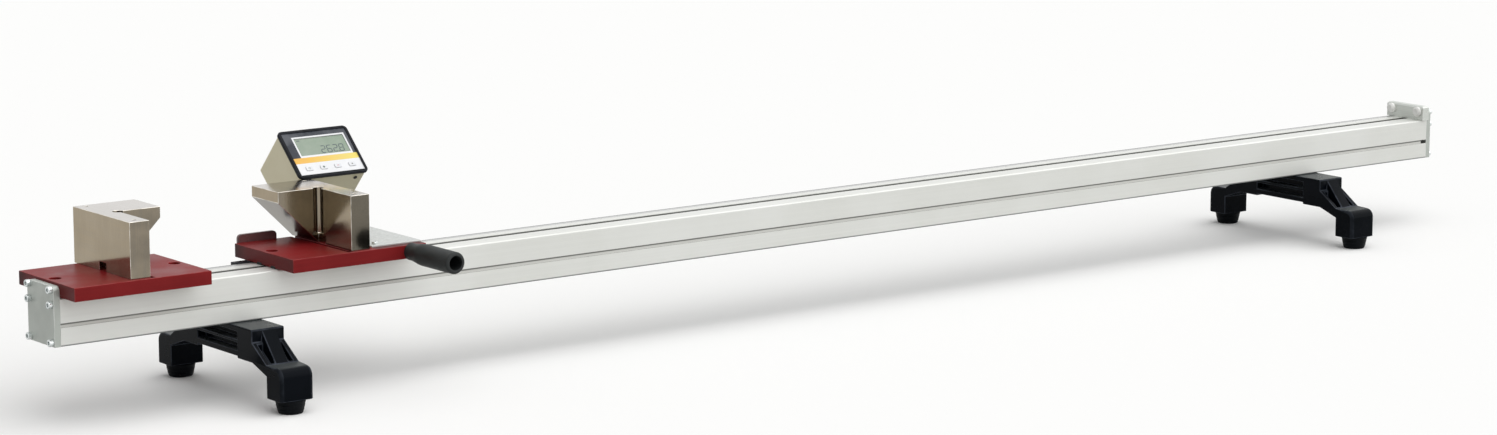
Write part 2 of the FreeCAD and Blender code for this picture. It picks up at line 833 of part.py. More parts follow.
def make_buffer_bar():
    """The cross bar on the far end of the rail."""
    half = rail_half + buffer_bar_overhang
    x0, top = x_far - buffer_bar_depth, z_rail_top + buffer_bar_height
    bar = box(x0, x_far, -half, half, z_rail_top, top)
    bar = bevel_edges(bar, buffer_bar_chamfer, lambda edge: edge.BoundBox.ZMin > top - edge_tolerance)
    holes = [rod(V(x0, y, z_rail_top + buffer_level), X_AXIS, buffer_stud_diameter + 2 * screw_clear,
                 buffer_stud_length + screw_clear) for y in (-buffer_spacing / 2, buffer_spacing / 2)]
    return cut_all(bar, holes + end_screw_sockets(x_far, -1))


def make_buffers():
    """The two round buffers that meet the carriage, each with a stud in the bar."""
    disc, stud = buffer_diameter / 2, buffer_stud_diameter / 2
    outline = [(0, -buffer_stud_length), (stud, -buffer_stud_length), (stud, 0), (disc, 0),
               (disc, buffer_length - buffer_round), (disc - buffer_round, buffer_length), (0, buffer_length)]
    x0 = x_far - buffer_bar_depth
    return Part.makeCompound([spin_profile(outline, V(x0, y, z_rail_top + buffer_level), X_AXIS * -1)
                              for y in (-buffer_spacing / 2, buffer_spacing / 2)])


# Legs and feet

def foot_block_span():
    """Y of the inner and the outer face of the front foot block."""
    middle = -foot_spacing / 2
    return middle + foot_block_depth / 2, middle - foot_block_depth / 2


def arm_line(y, start_level):
    """Height of a straight line from the hub's face down to the top of the foot block."""
    inner, outer = foot_block_span()
    block_top = foot_height + foot_block_height
    share = (y + leg_hub_outer) / (inner + leg_hub_outer)
    return start_level + share * (block_top - start_level)


def make_foot_block(x):
    """The front foot block, with a large round over its outer top edge."""
    inner, outer = foot_block_span()
    half = leg_width / 2
    block_top = foot_height + foot_block_height
    block = box(x - half, x + half, outer, inner, foot_height, block_top)
    return round_edges(block, foot_block_round, lambda edge: edge_through(edge, V(0, outer, block_top)))


def make_arm(x):
    """The front arm: two low flanges, a tall middle rib and a recess between each pair."""
    inner, outer = foot_block_span()
    half = leg_width / 2
    hub = -leg_hub_outer
    block_top = foot_height + foot_block_height
    flange_level = z_rail - leg_arm_drop
    seat = foot_height + foot_arm_seat
    side = [(hub, flange_level), (inner, block_top), (inner, seat), (hub, z_rail - leg_hub_depth)]
    arm = prism_x(side, x - half, x + half)
    start, end = hub - leg_recess_wall, inner + leg_recess_wall
    recess = [(start, arm_line(start, flange_level) - leg_arm_recess),
              (end, arm_line(end, flange_level) - leg_arm_recess), (end, flange_level), (start, flange_level)]
    rib_half = leg_arm_rib / 2
    flange_inside = half - leg_arm_flange
    tools = [prism_x(recess, x - flange_inside, x - rib_half),
             prism_x(recess, x + rib_half, x + flange_inside)]
    rib = prism_x([(hub, z_rail), (inner, block_top), (hub, flange_level)], x - rib_half, x + rib_half)
    return cut_all(arm, tools).fuse(rib)


def make_beam(x):
    """The beam under the rail between two deeper hubs, with two long pockets in each side."""
    half = leg_width / 2
    belly, hub_belly = z_rail - leg_belly_depth, z_rail - leg_hub_depth
    beam = box(x - half, x + half, -leg_hub_outer, leg_hub_outer, belly, z_rail)
    for y in (-leg_hub_outer, leg_hub_inner):
        beam = beam.fuse(box(x - half, x + half, y, y + leg_hub_outer - leg_hub_inner, hub_belly, belly))
    level = (belly + z_rail) / 2
    web = leg_web / 2
    tools = []
    for low, high in ((belly + leg_flange, level - leg_rib / 2), (level + leg_rib / 2, z_rail - leg_flange)):
        tools.append(box(x - half, x - web, -leg_hub_inner, leg_hub_inner, low, high))
        tools.append(box(x + web, x + half, -leg_hub_inner, leg_hub_inner, low, high))
    return cut_all(beam.removeSplitter(), tools)


def make_leg(x):
    """A whole leg bridge with the tongue that keeps it square in the rail's bottom groove."""
    half = leg_width / 2
    tongue = t_slot_width / 2 - seat_clear
    limb = make_arm(x).fuse(make_foot_block(x))
    keel = box(x - half, x + half, -tongue, tongue, z_rail, z_rail + leg_tongue)
    leg = make_beam(x).fuse([limb, mirrored_y(limb), keel]).removeSplitter()
    belly = z_rail - leg_belly_depth
    tools = [rod(V(x, 0, belly), Z_AXIS, M8[1] + 2 * head_clear, leg_screw_seat),
             screw_hole(V(x, 0, belly), Z_AXIS, M8, leg_belly_depth + leg_tongue)]
    tools += [screw_hole(V(x, y, foot_height), Z_AXIS, M6, foot_screw_depth + screw_clear)
              for y in (-foot_spacing / 2, foot_spacing / 2)]
    return cut_all(leg, tools)


def leg_places():
    """X of the two legs."""
    return [x_near + leg_from_end, x_far - leg_from_end]


def make_leg_screws():
    """One long screw up through each leg into its nut."""
    seat = z_rail - leg_belly_depth + leg_screw_seat
    length = z_rail + t_slot_lip + leg_nut_depth - seat
    return Part.makeCompound([cap_screw(V(x, 0, seat), Z_AXIS, M8, length) for x in leg_places()])


def make_leg_nuts():
    """The nuts in the rail's bottom groove that hold the legs."""
    half = t_slot_inner_width / 2 - slide_clear
    low = z_rail + t_slot_lip
    nuts = []
    for x in leg_places():
        nut = box(x - leg_nut_length / 2, x + leg_nut_length / 2, -half, half, low, low + leg_nut_depth)
        nuts.append(nut.cut(screw_hole(V(x, 0, low), Z_AXIS, M8, leg_nut_depth)))
    return Part.makeCompound(nuts)


def make_foot(x, y):
    """A tapered rubber foot with a recess for its screw."""
    top, base, edge = foot_top_diameter / 2, foot_base_diameter / 2, foot_edge_round
    recess, hole = foot_recess_diameter / 2, M6[0] / 2 + screw_clear
    outline = [(recess, 0), (base - edge, 0), (base, edge), (top, foot_height), (hole, foot_height),
               (hole, foot_recess_depth), (recess, foot_recess_depth)]
    return spin_profile(outline, V(x, y, 0), Z_AXIS)


def make_foot_screws():
    """The screws of the four feet."""
    length = foot_height - foot_recess_depth + foot_screw_depth
    return Part.makeCompound([cap_screw(V(x, y, foot_recess_depth), Z_AXIS, M6, length)
                              for x in leg_places() for y in (-foot_spacing / 2, foot_spacing / 2)])


def base_pieces():
    """Everything that stays put."""
    x_plate_end = x_near + fixed_plate_length
    pieces = {
        "rail": make_rail(),
        "scale_tape": make_scale_tape(),
        "front_slot_cover": make_slot_cover(-1),
        "rear_slot_cover": make_slot_cover(1),
        "near_end_plate": make_end_plate(x_near, -1),
        "far_end_plate": make_end_plate(x_far, 1),
        "near_end_screws": make_end_screws(x_near, -1),
        "far_end_screws": make_end_screws(x_far, 1),
        "fixed_plate": make_fixed_plate(),
        "fixed_plate_strips": make_strips(x_near, x_plate_end, z_rail_top),
        "fixed_plate_screws": make_slot_screws(x_near, x_plate_end, z_rail_top - t_slot_lip - slot_key_depth),
        "fixed_plate_nuts": make_fixed_plate_nuts(),
        "fixed_stop": make_stop(x_fixed_face, 1),
        "fixed_stop_screws": make_stop_screws(x_fixed_face - stop_arm / 2),
        "buffer_bar": make_buffer_bar(),
        "buffers": make_buffers(),
        "leg_screws": make_leg_screws(),
        "leg_nuts": make_leg_nuts(),
        "foot_screws": make_foot_screws(),
    }
    for end_name, x in zip(("near", "far"), leg_places()):
        pieces[end_name + "_leg"] = make_leg(x)
        for side_name, y in (("front", -foot_spacing / 2), ("rear", foot_spacing / 2)):
            pieces[end_name + "_" + side_name + "_foot"] = make_foot(x, y)
    return pieces


def carriage_pieces():
    """Everything that slides along the rail."""
    key_low = z_rail_top - t_slot_lip - slide_clear - slot_key_depth
    pieces = {
        "carriage_plate": make_carriage_plate(),
        "glide_strips": make_strips(x_carriage, x_carriage_end, z_rail_top + glide_clear),
        "slot_keys": make_slot_keys(),
        "slot_key_screws": make_slot_screws(x_carriage, x_carriage_end, key_low),
        "moving_stop": make_stop(x_moving_face, -1),
        "moving_stop_screws": make_stop_screws(x_moving_face + stop_arm / 2),
        "keeper_bar": make_keeper_bar(),
        "rear_tab": make_rear_tab(),
        "sensor_head": make_sensor(),
        "grip": make_grip(),
        "grip_screw": make_grip_screw(),
        "console_bracket": make_bracket(),
        "bracket_screws": make_bracket_screws(),
        "console_case": on_console(make_case()),
        "bezel": on_console(make_bezel()),
        "front_panel": on_console(make_panel()),
        "display_module": on_console(make_lcd()),
        "circuit_board": on_console(make_board()),
        "battery_pack": on_console(make_battery()),
    }
    for number, (x, y) in enumerate(key_places(), 1):
        pieces["key_" + str(number)] = on_console(make_key(x, y))
    return pieces


def depth_middle():
    """Y half way between the grip's end and the upper rear edge of the console's case."""
    rear = console_placement().multVec(V(0, bezel_height - case_inset, -console_depth)).y
    return (rear - plate_half - grip_length) / 2


def main():
    """Model every piece, put the origin below the middle of the whole and write one file a piece."""
    os.makedirs("parts", exist_ok=True)
    pieces = base_pieces()
    pieces.update(carriage_pieces())
    to_origin = V(0, -depth_middle(), 0)
    for name, shape in pieces.items():
        shape.translated(to_origin).exportStep("parts/" + name + ".step")


main()
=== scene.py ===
"""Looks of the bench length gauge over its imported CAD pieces: a finish for every piece, eased edges, turned
screws, feet and grip, the display's print and figures, and a plain pale studio. Metres, in the CAD frame."""
import json
import math
import bmesh
import bpy
from mathutils import Matrix, Vector

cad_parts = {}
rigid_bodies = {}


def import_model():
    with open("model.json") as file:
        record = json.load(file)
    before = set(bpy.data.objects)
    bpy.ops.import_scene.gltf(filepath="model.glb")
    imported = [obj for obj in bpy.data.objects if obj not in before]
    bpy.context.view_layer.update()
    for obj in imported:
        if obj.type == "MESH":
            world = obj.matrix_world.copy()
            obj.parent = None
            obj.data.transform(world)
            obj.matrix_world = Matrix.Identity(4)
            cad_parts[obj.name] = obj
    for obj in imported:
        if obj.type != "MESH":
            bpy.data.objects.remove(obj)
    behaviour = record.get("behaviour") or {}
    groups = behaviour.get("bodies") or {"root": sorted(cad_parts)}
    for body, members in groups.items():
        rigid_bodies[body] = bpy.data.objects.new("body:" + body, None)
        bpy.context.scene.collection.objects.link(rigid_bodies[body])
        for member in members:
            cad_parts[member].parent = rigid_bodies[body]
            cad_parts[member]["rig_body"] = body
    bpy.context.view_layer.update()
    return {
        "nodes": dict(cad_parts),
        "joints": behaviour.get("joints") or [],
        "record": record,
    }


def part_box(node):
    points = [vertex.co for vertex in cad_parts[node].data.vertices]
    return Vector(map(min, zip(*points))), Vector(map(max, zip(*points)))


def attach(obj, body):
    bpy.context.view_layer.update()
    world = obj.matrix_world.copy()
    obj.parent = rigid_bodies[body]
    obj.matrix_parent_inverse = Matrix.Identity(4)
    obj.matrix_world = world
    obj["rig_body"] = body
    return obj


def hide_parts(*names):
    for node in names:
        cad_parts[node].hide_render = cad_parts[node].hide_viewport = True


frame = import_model()
nodes = frame["nodes"]
slot_of = {row["node"]: row["material_slot"] for row in frame["record"]["subparts"]}

MM = 0.001
ACROSS, BACK, UP = Vector((1, 0, 0)), Vector((0, 1, 0)), Vector((0, 0, 1))

# Camera: solved from the photograph's edges
photo_width_px, focal_px = 1497, 4082.2
sensor_width_mm = 36.0
camera_heading, camera_dip = math.radians(37.287), math.radians(10.027)
camera_aim, camera_distance = Vector((-0.18449, -0.10975, 0.150)), 5.0048
camera_reach = 200.0

# Studio
white = (1, 1, 1, 1)
floor_size = 60.0
floor_tone = (253, 253, 252)
floor_bounce_tone, floor_roughness = (160, 160, 158), 0.8
ambient_level = 0.43
backdrop_level = 1.0
sky_lamp_from, sky_lamp_level, sky_lamp_spread = Vector((0.36, -0.50, 0.81)), 2.25, math.radians(100)

# Mesh work
merge_distance, spin_merge_distance = 0.02 * MM, 0.005 * MM
flat_angle = math.radians(0.5)
sharp_angle = math.radians(32)
crease_angle = math.radians(48)
ease_segments = 2
round_segments = 5
eased_edges = {
    "near_end_plate": 0.5 * MM, "far_end_plate": 0.5 * MM, "fixed_plate": 0.6 * MM,
    "carriage_plate": 0.6 * MM, "fixed_stop": 0.5 * MM, "moving_stop": 0.5 * MM, "rear_tab": 0.5 * MM,
    "keeper_bar": 0.5 * MM, "buffer_bar": 0.4 * MM, "buffers": 0.4 * MM, "console_bracket": 0.3 * MM,
    "console_case": 0.5 * MM, "bezel": 0.4 * MM, "key_1": 0.3 * MM, "key_2": 0.3 * MM, "key_3": 0.3 * MM,
    "key_4": 0.3 * MM,
}
own_finishes = {"rear_tab": "tab_lacquer", "buffer_bar": "bar_aluminium"}
leg_edge, leg_hub_round, leg_block_round, leg_margin = 1.1 * MM, 2.0 * MM, 4.0 * MM, 1.0 * MM
leg_block_depth, leg_hub_outer, leg_hub_height = 32 * MM, 78 * MM, 14 * MM
# How strongly the foot blocks' and hubs' roundings show rubbing and a painted edge highlight, and the slope
# from which level tops get a painted sheen
block_rub_and_highlight, hub_rub_and_highlight, level_top = 0.4, 0.6, 0.9
arm_rib_limit, arm_rib_half = 3.0 * MM, 8.5 * MM

# Screws: shares of the head's diameter, of its height, of its rounding and of the socket's radius
screw_steps = 24
socket_share, socket_depth_share, head_round_share, shank_share = 0.29, 0.30, 0.09, 0.59
socket_depth_limit, head_round_limit = 0.6, 1 / 3
round_corner_share, round_foot_share = 0.3, 1 / 3
socket_mouth_share, socket_reach_share = 1.12, 1.05

# Screws: heights of the heads by thread, and the sizes and places of the small ones
m4_head, m5_head, m6_head, m8_head = 2.6 * MM, 5.0 * MM, 6.0 * MM, 8.0 * MM
screw_tip_bevel, low_head_cut = 0.5 * MM, 2.6 * MM
small_head, small_screw_length = 7.0 * MM, 5.0 * MM
low_head, low_head_height = 4.8 * MM, 1.0 * MM
tab_screw_inset, keeper_screw_inset = 12 * MM, 20 * MM

# Shade in the rail's grooves and along its edges
top_groove_half, top_groove_depth, groove_shade_start = 5.1 * MM, 11.0 * MM, 0.6 * MM
strip_shade_start, strip_shade_full = 0.4 * MM, 1.0 * MM
tape_edge, tape_edge_full = 4.0 * MM, 2.0 * MM
lower_edge, lower_edge_full = 2.4 * MM, 0.96 * MM
side_groove_margin, strip_end = 0.5 * MM, 0.3 * MM

# Shade on the red plates
plate_rear_shade, plate_rear_full, plate_edge = 24 * MM, 6 * MM, 0.3 * MM

# The band of the stops' top and front that is painted: a painted highlight on top and painted shade in front
stop_face_band, stop_margin = 0.2 * MM, 1.0 * MM

# Feet and grip
turned_steps = 64
foot_bore, foot_recess, foot_recess_depth = 3.15 * MM, 7.0 * MM, 8.0 * MM
foot_ring_levels = (5.5 * MM, 11.0 * MM)
foot_ring_depth, foot_ring_half = 0.5 * MM, 0.6 * MM
foot_edge, foot_taper = 2.0 * MM, 29.0 / 35.5
grip_root, grip_full, grip_bore, grip_hole = 10.25 * MM, 13.0 * MM, 8.5 * MM, 4.15 * MM
grip_straight, grip_flare, grip_bore_depth = 5.0 * MM, 30.0 * MM, 58.0 * MM
grip_mouth_round, grip_bore_round = 3.0 * MM, 0.8 * MM
curve_steps = 12

# Console face, measured from the bezel's lower left corner
lcd_left, lcd_right, lcd_high = 17.5 * MM, 85.7 * MM, 59.5 * MM
lcd_border, lcd_shade = 2.1 * MM, 2.2 * MM
band_low, band_high = 21.8 * MM, 30.2 * MM
figure_text = "262.8"
figure_height, figure_width, figure_pitch = 10.2 * MM, 5.6 * MM, 8.4 * MM
figure_right, figure_low = 78.5 * MM, 35.4 * MM
figure_stroke, figure_thickness, figure_lean = 1.2 * MM, 0.06 * MM, 0.10
figure_gap, figure_dot_half = 0.36 * MM, 0.66 * MM
level_bar_place, level_bar_length = (22.8 * MM, 56.3 * MM), 5.0 * MM
key_mark_size, key_mark_thickness = 1.5 * MM, 0.05 * MM
mark_corners = {"disc": 20, "ring": 20, "bar": 4, "triangle": 3}
mark_ring_wall, mark_bar_shape, mark_bar_turn = 0.525 * MM, (1.4, 0.45, 1), math.radians(45)
case_screw_side, case_screw_level = 20 * MM, 30 * MM
underside_screw_side, underside_screw_depth = 14 * MM, 13 * MM
underside_shade = 0.6 * MM


def seen(red, green, blue):
    """A colour given as it looks on a screen, 0 to 255, in the linear values that shaders take."""
    def linear(value):
        share = value / 255
        return share / 12.92 if share <= 0.04045 else ((share + 0.055) / 1.055) ** 2.4
    return linear(red), linear(green), linear(blue), 1.0


# Node trees

class Wiring:
    """Adds nodes to one node tree and joins them."""

    def __init__(self, tree):
        self.tree = tree

    def feed(self, socket, value):
        """Give an input a value, or the output that feeds it."""
        if isinstance(value, bpy.types.NodeSocket):
            self.tree.links.new(value, socket)
        else:
            socket.default_value = value

    def add(self, kind, settings=None, inputs=None):
        """A new node, with its settings and with its inputs given or fed."""
        node = self.tree.nodes.new(kind)
        for name, value in (settings or {}).items():
            setattr(node, name, value)
        for name, value in (inputs or {}).items():
            self.feed(node.inputs[name], value)
        return node

    def math(self, operation, first, second=0.0):
        """One sum on two values."""
        return self.add("ShaderNodeMath", {"operation": operation}, {0: first, 1: second}).outputs[0]

    def scaled(self, vector, factors):
        """A vector with each part multiplied."""
        return self.add("ShaderNodeVectorMath", {"operation": "MULTIPLY"}, {0: vector, 1: factors}).outputs[0]

    def noise(self, vector, scale, detail):
        """A cloudy noise, from about 0.3 to 0.7."""
        inputs = {"Vector": vector, "Scale": scale, "Detail": detail}
        return self.add("ShaderNodeTexNoise", inputs=inputs).outputs[0]

    def spread(self, value, low, high, to_low=0.0, to_high=1.0):
        """A value moved from one range to another, and held inside it."""
        inputs = {"Value": value, "From Min": low, "From Max": high, "To Min": to_low, "To Max": to_high}
        return self.add("ShaderNodeMapRange", {"clamp": True}, inputs).outputs[0]

    def mixed(self, mask, first, second):
        """Two colours mixed by a mask."""
        node = self.add("ShaderNodeMix", {"data_type": "RGBA"})
        for socket, value in ((node.inputs[0], mask), (node.inputs[6], first), (node.inputs[7], second)):
            self.feed(socket, value)
        return node.outputs[2]

    def shown(self):
        """1 for the eye, for reflections and through glass, else 0."""
        path = self.add("ShaderNodeLightPath").outputs
        eye = self.math("MAXIMUM", path["Is Camera Ray"], path["Is Glossy Ray"])
        return self.math("MAXIMUM", eye, path["Is Transmission Ray"])

    def both(self, first, second):
        """Two masks multiplied."""
        return self.math("MULTIPLY", first, second)

    def inside(self, value, low, high):
        """1 where a value lies between two limits, else 0."""
        return self.both(self.math("GREATER_THAN", value, low), self.math("LESS_THAN", value, high))


def effect_group(name, inputs, output):
    """A new effect: its group's wiring, its inputs and the socket that its result goes to."""
    tree = bpy.data.node_groups.new(name, "ShaderNodeTree")
    tree.interface.new_socket("Vector", in_out="INPUT", socket_type="NodeSocketVector")
    for socket, (kind, value) in inputs.items():
        tree.interface.new_socket(socket, in_out="INPUT", socket_type=kind).default_value = value
    tree.interface.new_socket(output, in_out="OUTPUT", socket_type="NodeSocketFloat")
    wiring = Wiring(tree)
    return wiring, wiring.add("NodeGroupInput").outputs, wiring.add("NodeGroupOutput").inputs[0]


def fine_lines_effect():
    """Fine lines that run one way, as drawing, brushing and grinding leave them."""
    stretch = {"Stretch": ("NodeSocketVector", (2, 300, 300))}
    wiring, given, result = effect_group("fine_lines", stretch, "Lines")
    noise = wiring.noise(wiring.scaled(given["Vector"], given["Stretch"]), 1.0, 5.0)
    wiring.feed(result, wiring.spread(noise, 0.3, 0.7))


def moulded_grain_effect():
    """The fine pebbled grain of a mould's spark-eroded wall."""
    wiring, given, result = effect_group("moulded_grain", {"Size": ("NodeSocketFloat", 0.0008)}, "Grain")
    scale = wiring.math("DIVIDE", 1.0, given["Size"])
    wiring.feed(result, wiring.spread(wiring.noise(given["Vector"], scale, 2.0), 0.32, 0.68))


def soft_marks_effect():
    """Soft patches where hands and cloths have been."""
    wiring, given, result = effect_group("soft_marks", {"Scale": ("NodeSocketFloat", 14.0)}, "Marks")
    wiring.feed(result, wiring.spread(wiring.noise(given["Vector"], given["Scale"], 4.0), 0.36, 0.64))


def rubbed_edges_effect():
    """Eased edges rubbed in uneven stretches, which most finishes also paint lighter as a painted edge
    highlight.
    """
    wiring, given, result = effect_group("rubbed_and_highlit_edges", {"Scale": ("NodeSocketFloat", 60.0)}, "RubbedAndHighlit")
    edge = wiring.add("ShaderNodeAttribute", {"attribute_name": "eased"}).outputs["Fac"]
    patches = wiring.spread(wiring.noise(given["Vector"], given["Scale"], 3.0), 0.35, 0.6, 0.25, 1.0)
    wiring.feed(result, wiring.math("MULTIPLY", edge, patches))


def zinc_flowers_effect():
    """The crystal pattern of hot-dipped zinc."""
    wiring, given, result = effect_group("zinc_flowers", {"Size": ("NodeSocketFloat", 0.003)}, "Flowers")
    scale = wiring.math("DIVIDE", 1.0, given["Size"])
    cells = wiring.add("ShaderNodeTexVoronoi", inputs={"Vector": given["Vector"], "Scale": scale})
    tone = wiring.add("ShaderNodeSeparateColor", inputs={"Color": cells.outputs["Color"]}).outputs[0]
    wiring.feed(result, tone)


def build_effects():
    """The effects that several finishes share."""
    fine_lines_effect()
    moulded_grain_effect()
    soft_marks_effect()
    rubbed_edges_effect()
    zinc_flowers_effect()


class Finish(Wiring):
    """A material that is built up in layers on one shader."""

    def __init__(self, name, colour, roughness, metallic=0.0, **constants):
        self.material = bpy.data.materials.new(name)
        self.material.use_nodes = True
        super().__init__(self.material.node_tree)
        self.shader = self.tree.nodes["Principled BSDF"]
        self.place = self.add("ShaderNodeTexCoord").outputs["Object"]
        self.colour = colour
        self.shader.inputs["Base Color"].default_value = colour
        self.shader.inputs["Roughness"].default_value = roughness
        self.shader.inputs["Metallic"].default_value = metallic
        for socket, value in constants.items():
            self.shader.inputs[socket.replace("_", " ")].default_value = value

    def effect(self, name, **inputs):
        """The result of a shared effect, with its own values."""
        node = self.add("ShaderNodeGroup", {"node_tree": bpy.data.node_groups[name]}, {"Vector": self.place})
        for socket, value in inputs.items():
            self.feed(node.inputs[socket], value)
        return node.outputs[0]

    def tint(self, mask, colour, most=1.0):
        """Move the colour towards another one, by at most a share, where the mask is high."""
        share = mask if most == 1.0 else self.math("MULTIPLY", mask, most)
        self.colour = self.mixed(share, self.colour, colour)
        self.feed(self.shader.inputs["Base Color"], self.colour)

    def gloss(self, mask, low, high):
        """Let the roughness run between two values with a mask."""
        self.feed(self.shader.inputs["Roughness"], self.spread(mask, 0.0, 1.0, low, high))

    def relief(self, height, depth):
        """Lay a fine relief on the surface."""
        bump = self.add("ShaderNodeBump", inputs={"Distance": depth, "Height": height})
        normal = self.shader.inputs["Normal"]
        if normal.is_linked:
            self.feed(bump.inputs["Normal"], normal.links[0].from_socket)
        self.feed(normal, bump.outputs["Normal"])

    def axes(self):
        """Places on the part: across, back and up."""
        return self.add("ShaderNodeSeparateXYZ", inputs={"Vector": self.place}).outputs

    def facing(self, side):
        """How far a piece's faces look to a side that they were marked for."""
        return self.add("ShaderNodeAttribute", {"attribute_name": side}).outputs["Fac"]

    def on_console(self):
        """Places on the console's face: across, up and out from the bezel's lower left corner."""
        inputs = {"Vector": self.place, "Location": console_corner, "Rotation": console_turn.to_euler()}
        mapping = self.add("ShaderNodeMapping", {"vector_type": "TEXTURE"}, inputs)
        return self.add("ShaderNodeSeparateXYZ", inputs={"Vector": mapping.outputs["Vector"]}).outputs


# Console frame, taken from the way that its keys press

def console_axes():
    """The console's own axes: across its face, up its face and out of it."""
    press = next(joint for joint in frame["joints"] if joint["name"] == "key_1_press")
    out = -Vector(press["axis"]).normalized()
    return ACROSS, out.cross(ACROSS), out


def find_console_corner():
    """The bezel's lower left corner, on its front plane."""
    across, up, out = console_axes()
    points = [vertex.co for vertex in nodes["bezel"].data.vertices]
    left = min(point.dot(across) for point in points)
    low = min(point.dot(up) for point in points)
    front = max(point.dot(out) for point in points)
    return across * left + up * low + out * front


def find_case_foot():
    """Level of the case's underside, on the face's own scale."""
    up = console_axes()[1]
    return min(vertex.co.dot(up) for vertex in nodes["console_case"].data.vertices) - console_corner.dot(up)


console_turn = Matrix(console_axes()).transposed()
console_corner = find_console_corner()
case_foot = find_case_foot()


# Finishes

def anodised_rail():
    """Clear anodised extrusion with faint drawing lines, shaded in its grooves and along its lower edge."""
    finish = Finish("anodised_rail", seen(227, 228, 223), 0.42, metallic=0.3)
    lines = finish.effect("fine_lines", Stretch=(1.2, 240, 240))
    finish.tint(lines, seen(220, 221, 216), 0.7)
    finish.tint(finish.effect("soft_marks", Scale=9.0), seen(236, 237, 234), 0.4)
    low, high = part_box("rail")
    _, back, up = finish.axes()
    middle = (low.y + high.y) / 2
    groove = finish.both(finish.inside(back, middle - top_groove_half, middle + top_groove_half),
                         finish.inside(up, high.z - top_groove_depth, high.z - groove_shade_start))
    finish.tint(groove, seen(84, 84, 82), 0.85)
    strip_low, strip_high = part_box("front_slot_cover")
    aside = finish.math("ABSOLUTE", finish.math("SUBTRACT", back, middle))
    half = (high.y - low.y) / 2
    side_groove = finish.both(finish.inside(aside, half - top_groove_depth, half - groove_shade_start),
                              finish.inside(up, strip_low.z - side_groove_margin,
                                            strip_high.z + side_groove_margin))
    finish.tint(side_groove, seen(56, 56, 54), 0.9)
    finish.tint(finish.spread(up, low.z + lower_edge, low.z + lower_edge_full), seen(86, 90, 92), 0.85)
    finish.gloss(lines, 0.36, 0.48)
    finish.relief(lines, 0.03 * MM)
    return finish.material


def tape_steel():
    """Brushed cover of the magnetic scale, dark along its rear edge."""
    finish = Finish("tape_steel", seen(208, 209, 207), 0.34, metallic=0.6)
    lines = finish.effect("fine_lines", Stretch=(3, 1500, 1500))
    finish.tint(lines, seen(186, 187, 186))
    back = finish.axes()["Y"]
    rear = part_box("scale_tape")[1].y
    finish.tint(finish.spread(back, rear - tape_edge, rear - tape_edge_full), seen(112, 113, 112))
    finish.gloss(lines, 0.28, 0.44)
    finish.relief(lines, 0.02 * MM)
    return finish.material


def cover_strip():
    """Matte extruded strip in the side groove, shaded below the groove's upper lip and at its end."""
    finish = Finish("cover_strip", seen(226, 226, 221), 0.6)
    finish.tint(finish.effect("fine_lines", Stretch=(2, 500, 500)), seen(214, 214, 208))
    across, _, up = finish.axes()
    low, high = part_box("front_slot_cover")
    middle = (low.z + high.z) / 2
    finish.tint(finish.spread(up, middle + strip_shade_start, middle + strip_shade_full), seen(122, 123, 118))
    finish.tint(finish.math("GREATER_THAN", across, high.x - strip_end), seen(72, 72, 70))
    finish.gloss(finish.effect("soft_marks", Scale=20.0), 0.5, 0.7)
    return finish.material


def grey_end_plate():
    """Satin anodised plate, sawn and blasted."""
    finish = Finish("grey_end_plate", seen(188, 193, 187), 0.42, metallic=0.35)
    grain = finish.effect("moulded_grain", Size=0.5 * MM)
    finish.tint(finish.effect("soft_marks", Scale=30.0), seen(176, 181, 175))
    finish.tint(finish.effect("rubbed_and_highlit_edges"), seen(240, 242, 239), 0.8)
    finish.gloss(grain, 0.36, 0.5)
    finish.relief(grain, 0.03 * MM)
    return finish.material


def bar_aluminium():
    """Pale drawn bar."""
    finish = Finish("bar_aluminium", seen(214, 218, 212), 0.4, metallic=0.35)
    lines = finish.effect("fine_lines", Stretch=(600, 6, 600))
    finish.tint(lines, seen(198, 202, 196), 0.8)
    finish.tint(finish.effect("rubbed_and_highlit_edges"), seen(240, 242, 239), 0.8)
    finish.gloss(lines, 0.34, 0.48)
    finish.relief(lines, 0.015 * MM)
    return finish.material


def screw_steel():
    """Zinc-plated steel."""
    finish = Finish("screw_steel", seen(226, 230, 229), 0.3, metallic=0.8)
    marks = finish.effect("soft_marks", Scale=180.0)
    finish.tint(marks, seen(204, 210, 210))
    finish.gloss(marks, 0.26, 0.42)
    finish.relief(finish.effect("moulded_grain", Size=0.4 * MM), 0.015 * MM)
    return finish.material


def blackened_steel():
    """Blackened screw steel."""
    finish = Finish("blackened_steel", seen(24, 24, 26), 0.4, metallic=0.4)
    marks = finish.effect("soft_marks", Scale=180.0)
    finish.tint(marks, seen(36, 36, 38))
    finish.gloss(marks, 0.34, 0.5)
    return finish.material


def red_plate():
    """Red anodised aluminium, milled and satin, shaded at its left ends and before the bracket's sheet."""
    finish = Finish("red_plate", seen(128, 27, 29), 0.42, Specular_IOR_Level=0.13)
    lines = finish.effect("fine_lines", Stretch=(8, 420, 420))
    marks = finish.effect("soft_marks", Scale=22.0)
    finish.tint(lines, seen(116, 22, 25), 0.7)
    finish.tint(marks, seen(136, 33, 35), 0.6)
    left = finish.facing("left")
    finish.tint(left, seen(92, 16, 18), 0.85)
    across, back, up = finish.axes()
    low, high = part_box("carriage_plate")
    rear = finish.spread(back, high.y - plate_rear_shade, high.y - plate_rear_full)
    finish.tint(finish.both(left, rear), seen(40, 10, 11), 0.75)
    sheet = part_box("console_bracket")[0]
    beside_sheet = finish.both(finish.inside(across, sheet.x, high.x),
                               finish.inside(back, low.y + plate_edge, sheet.y + plate_edge))
    on_top = finish.math("GREATER_THAN", up, high.z - plate_edge)
    finish.tint(finish.both(beside_sheet, on_top), seen(62, 20, 20), 0.75)
    finish.tint(finish.effect("rubbed_and_highlit_edges"), seen(168, 78, 78), 0.7)
    finish.gloss(marks, 0.36, 0.48)
    finish.relief(lines, 0.02 * MM)
    return finish.material


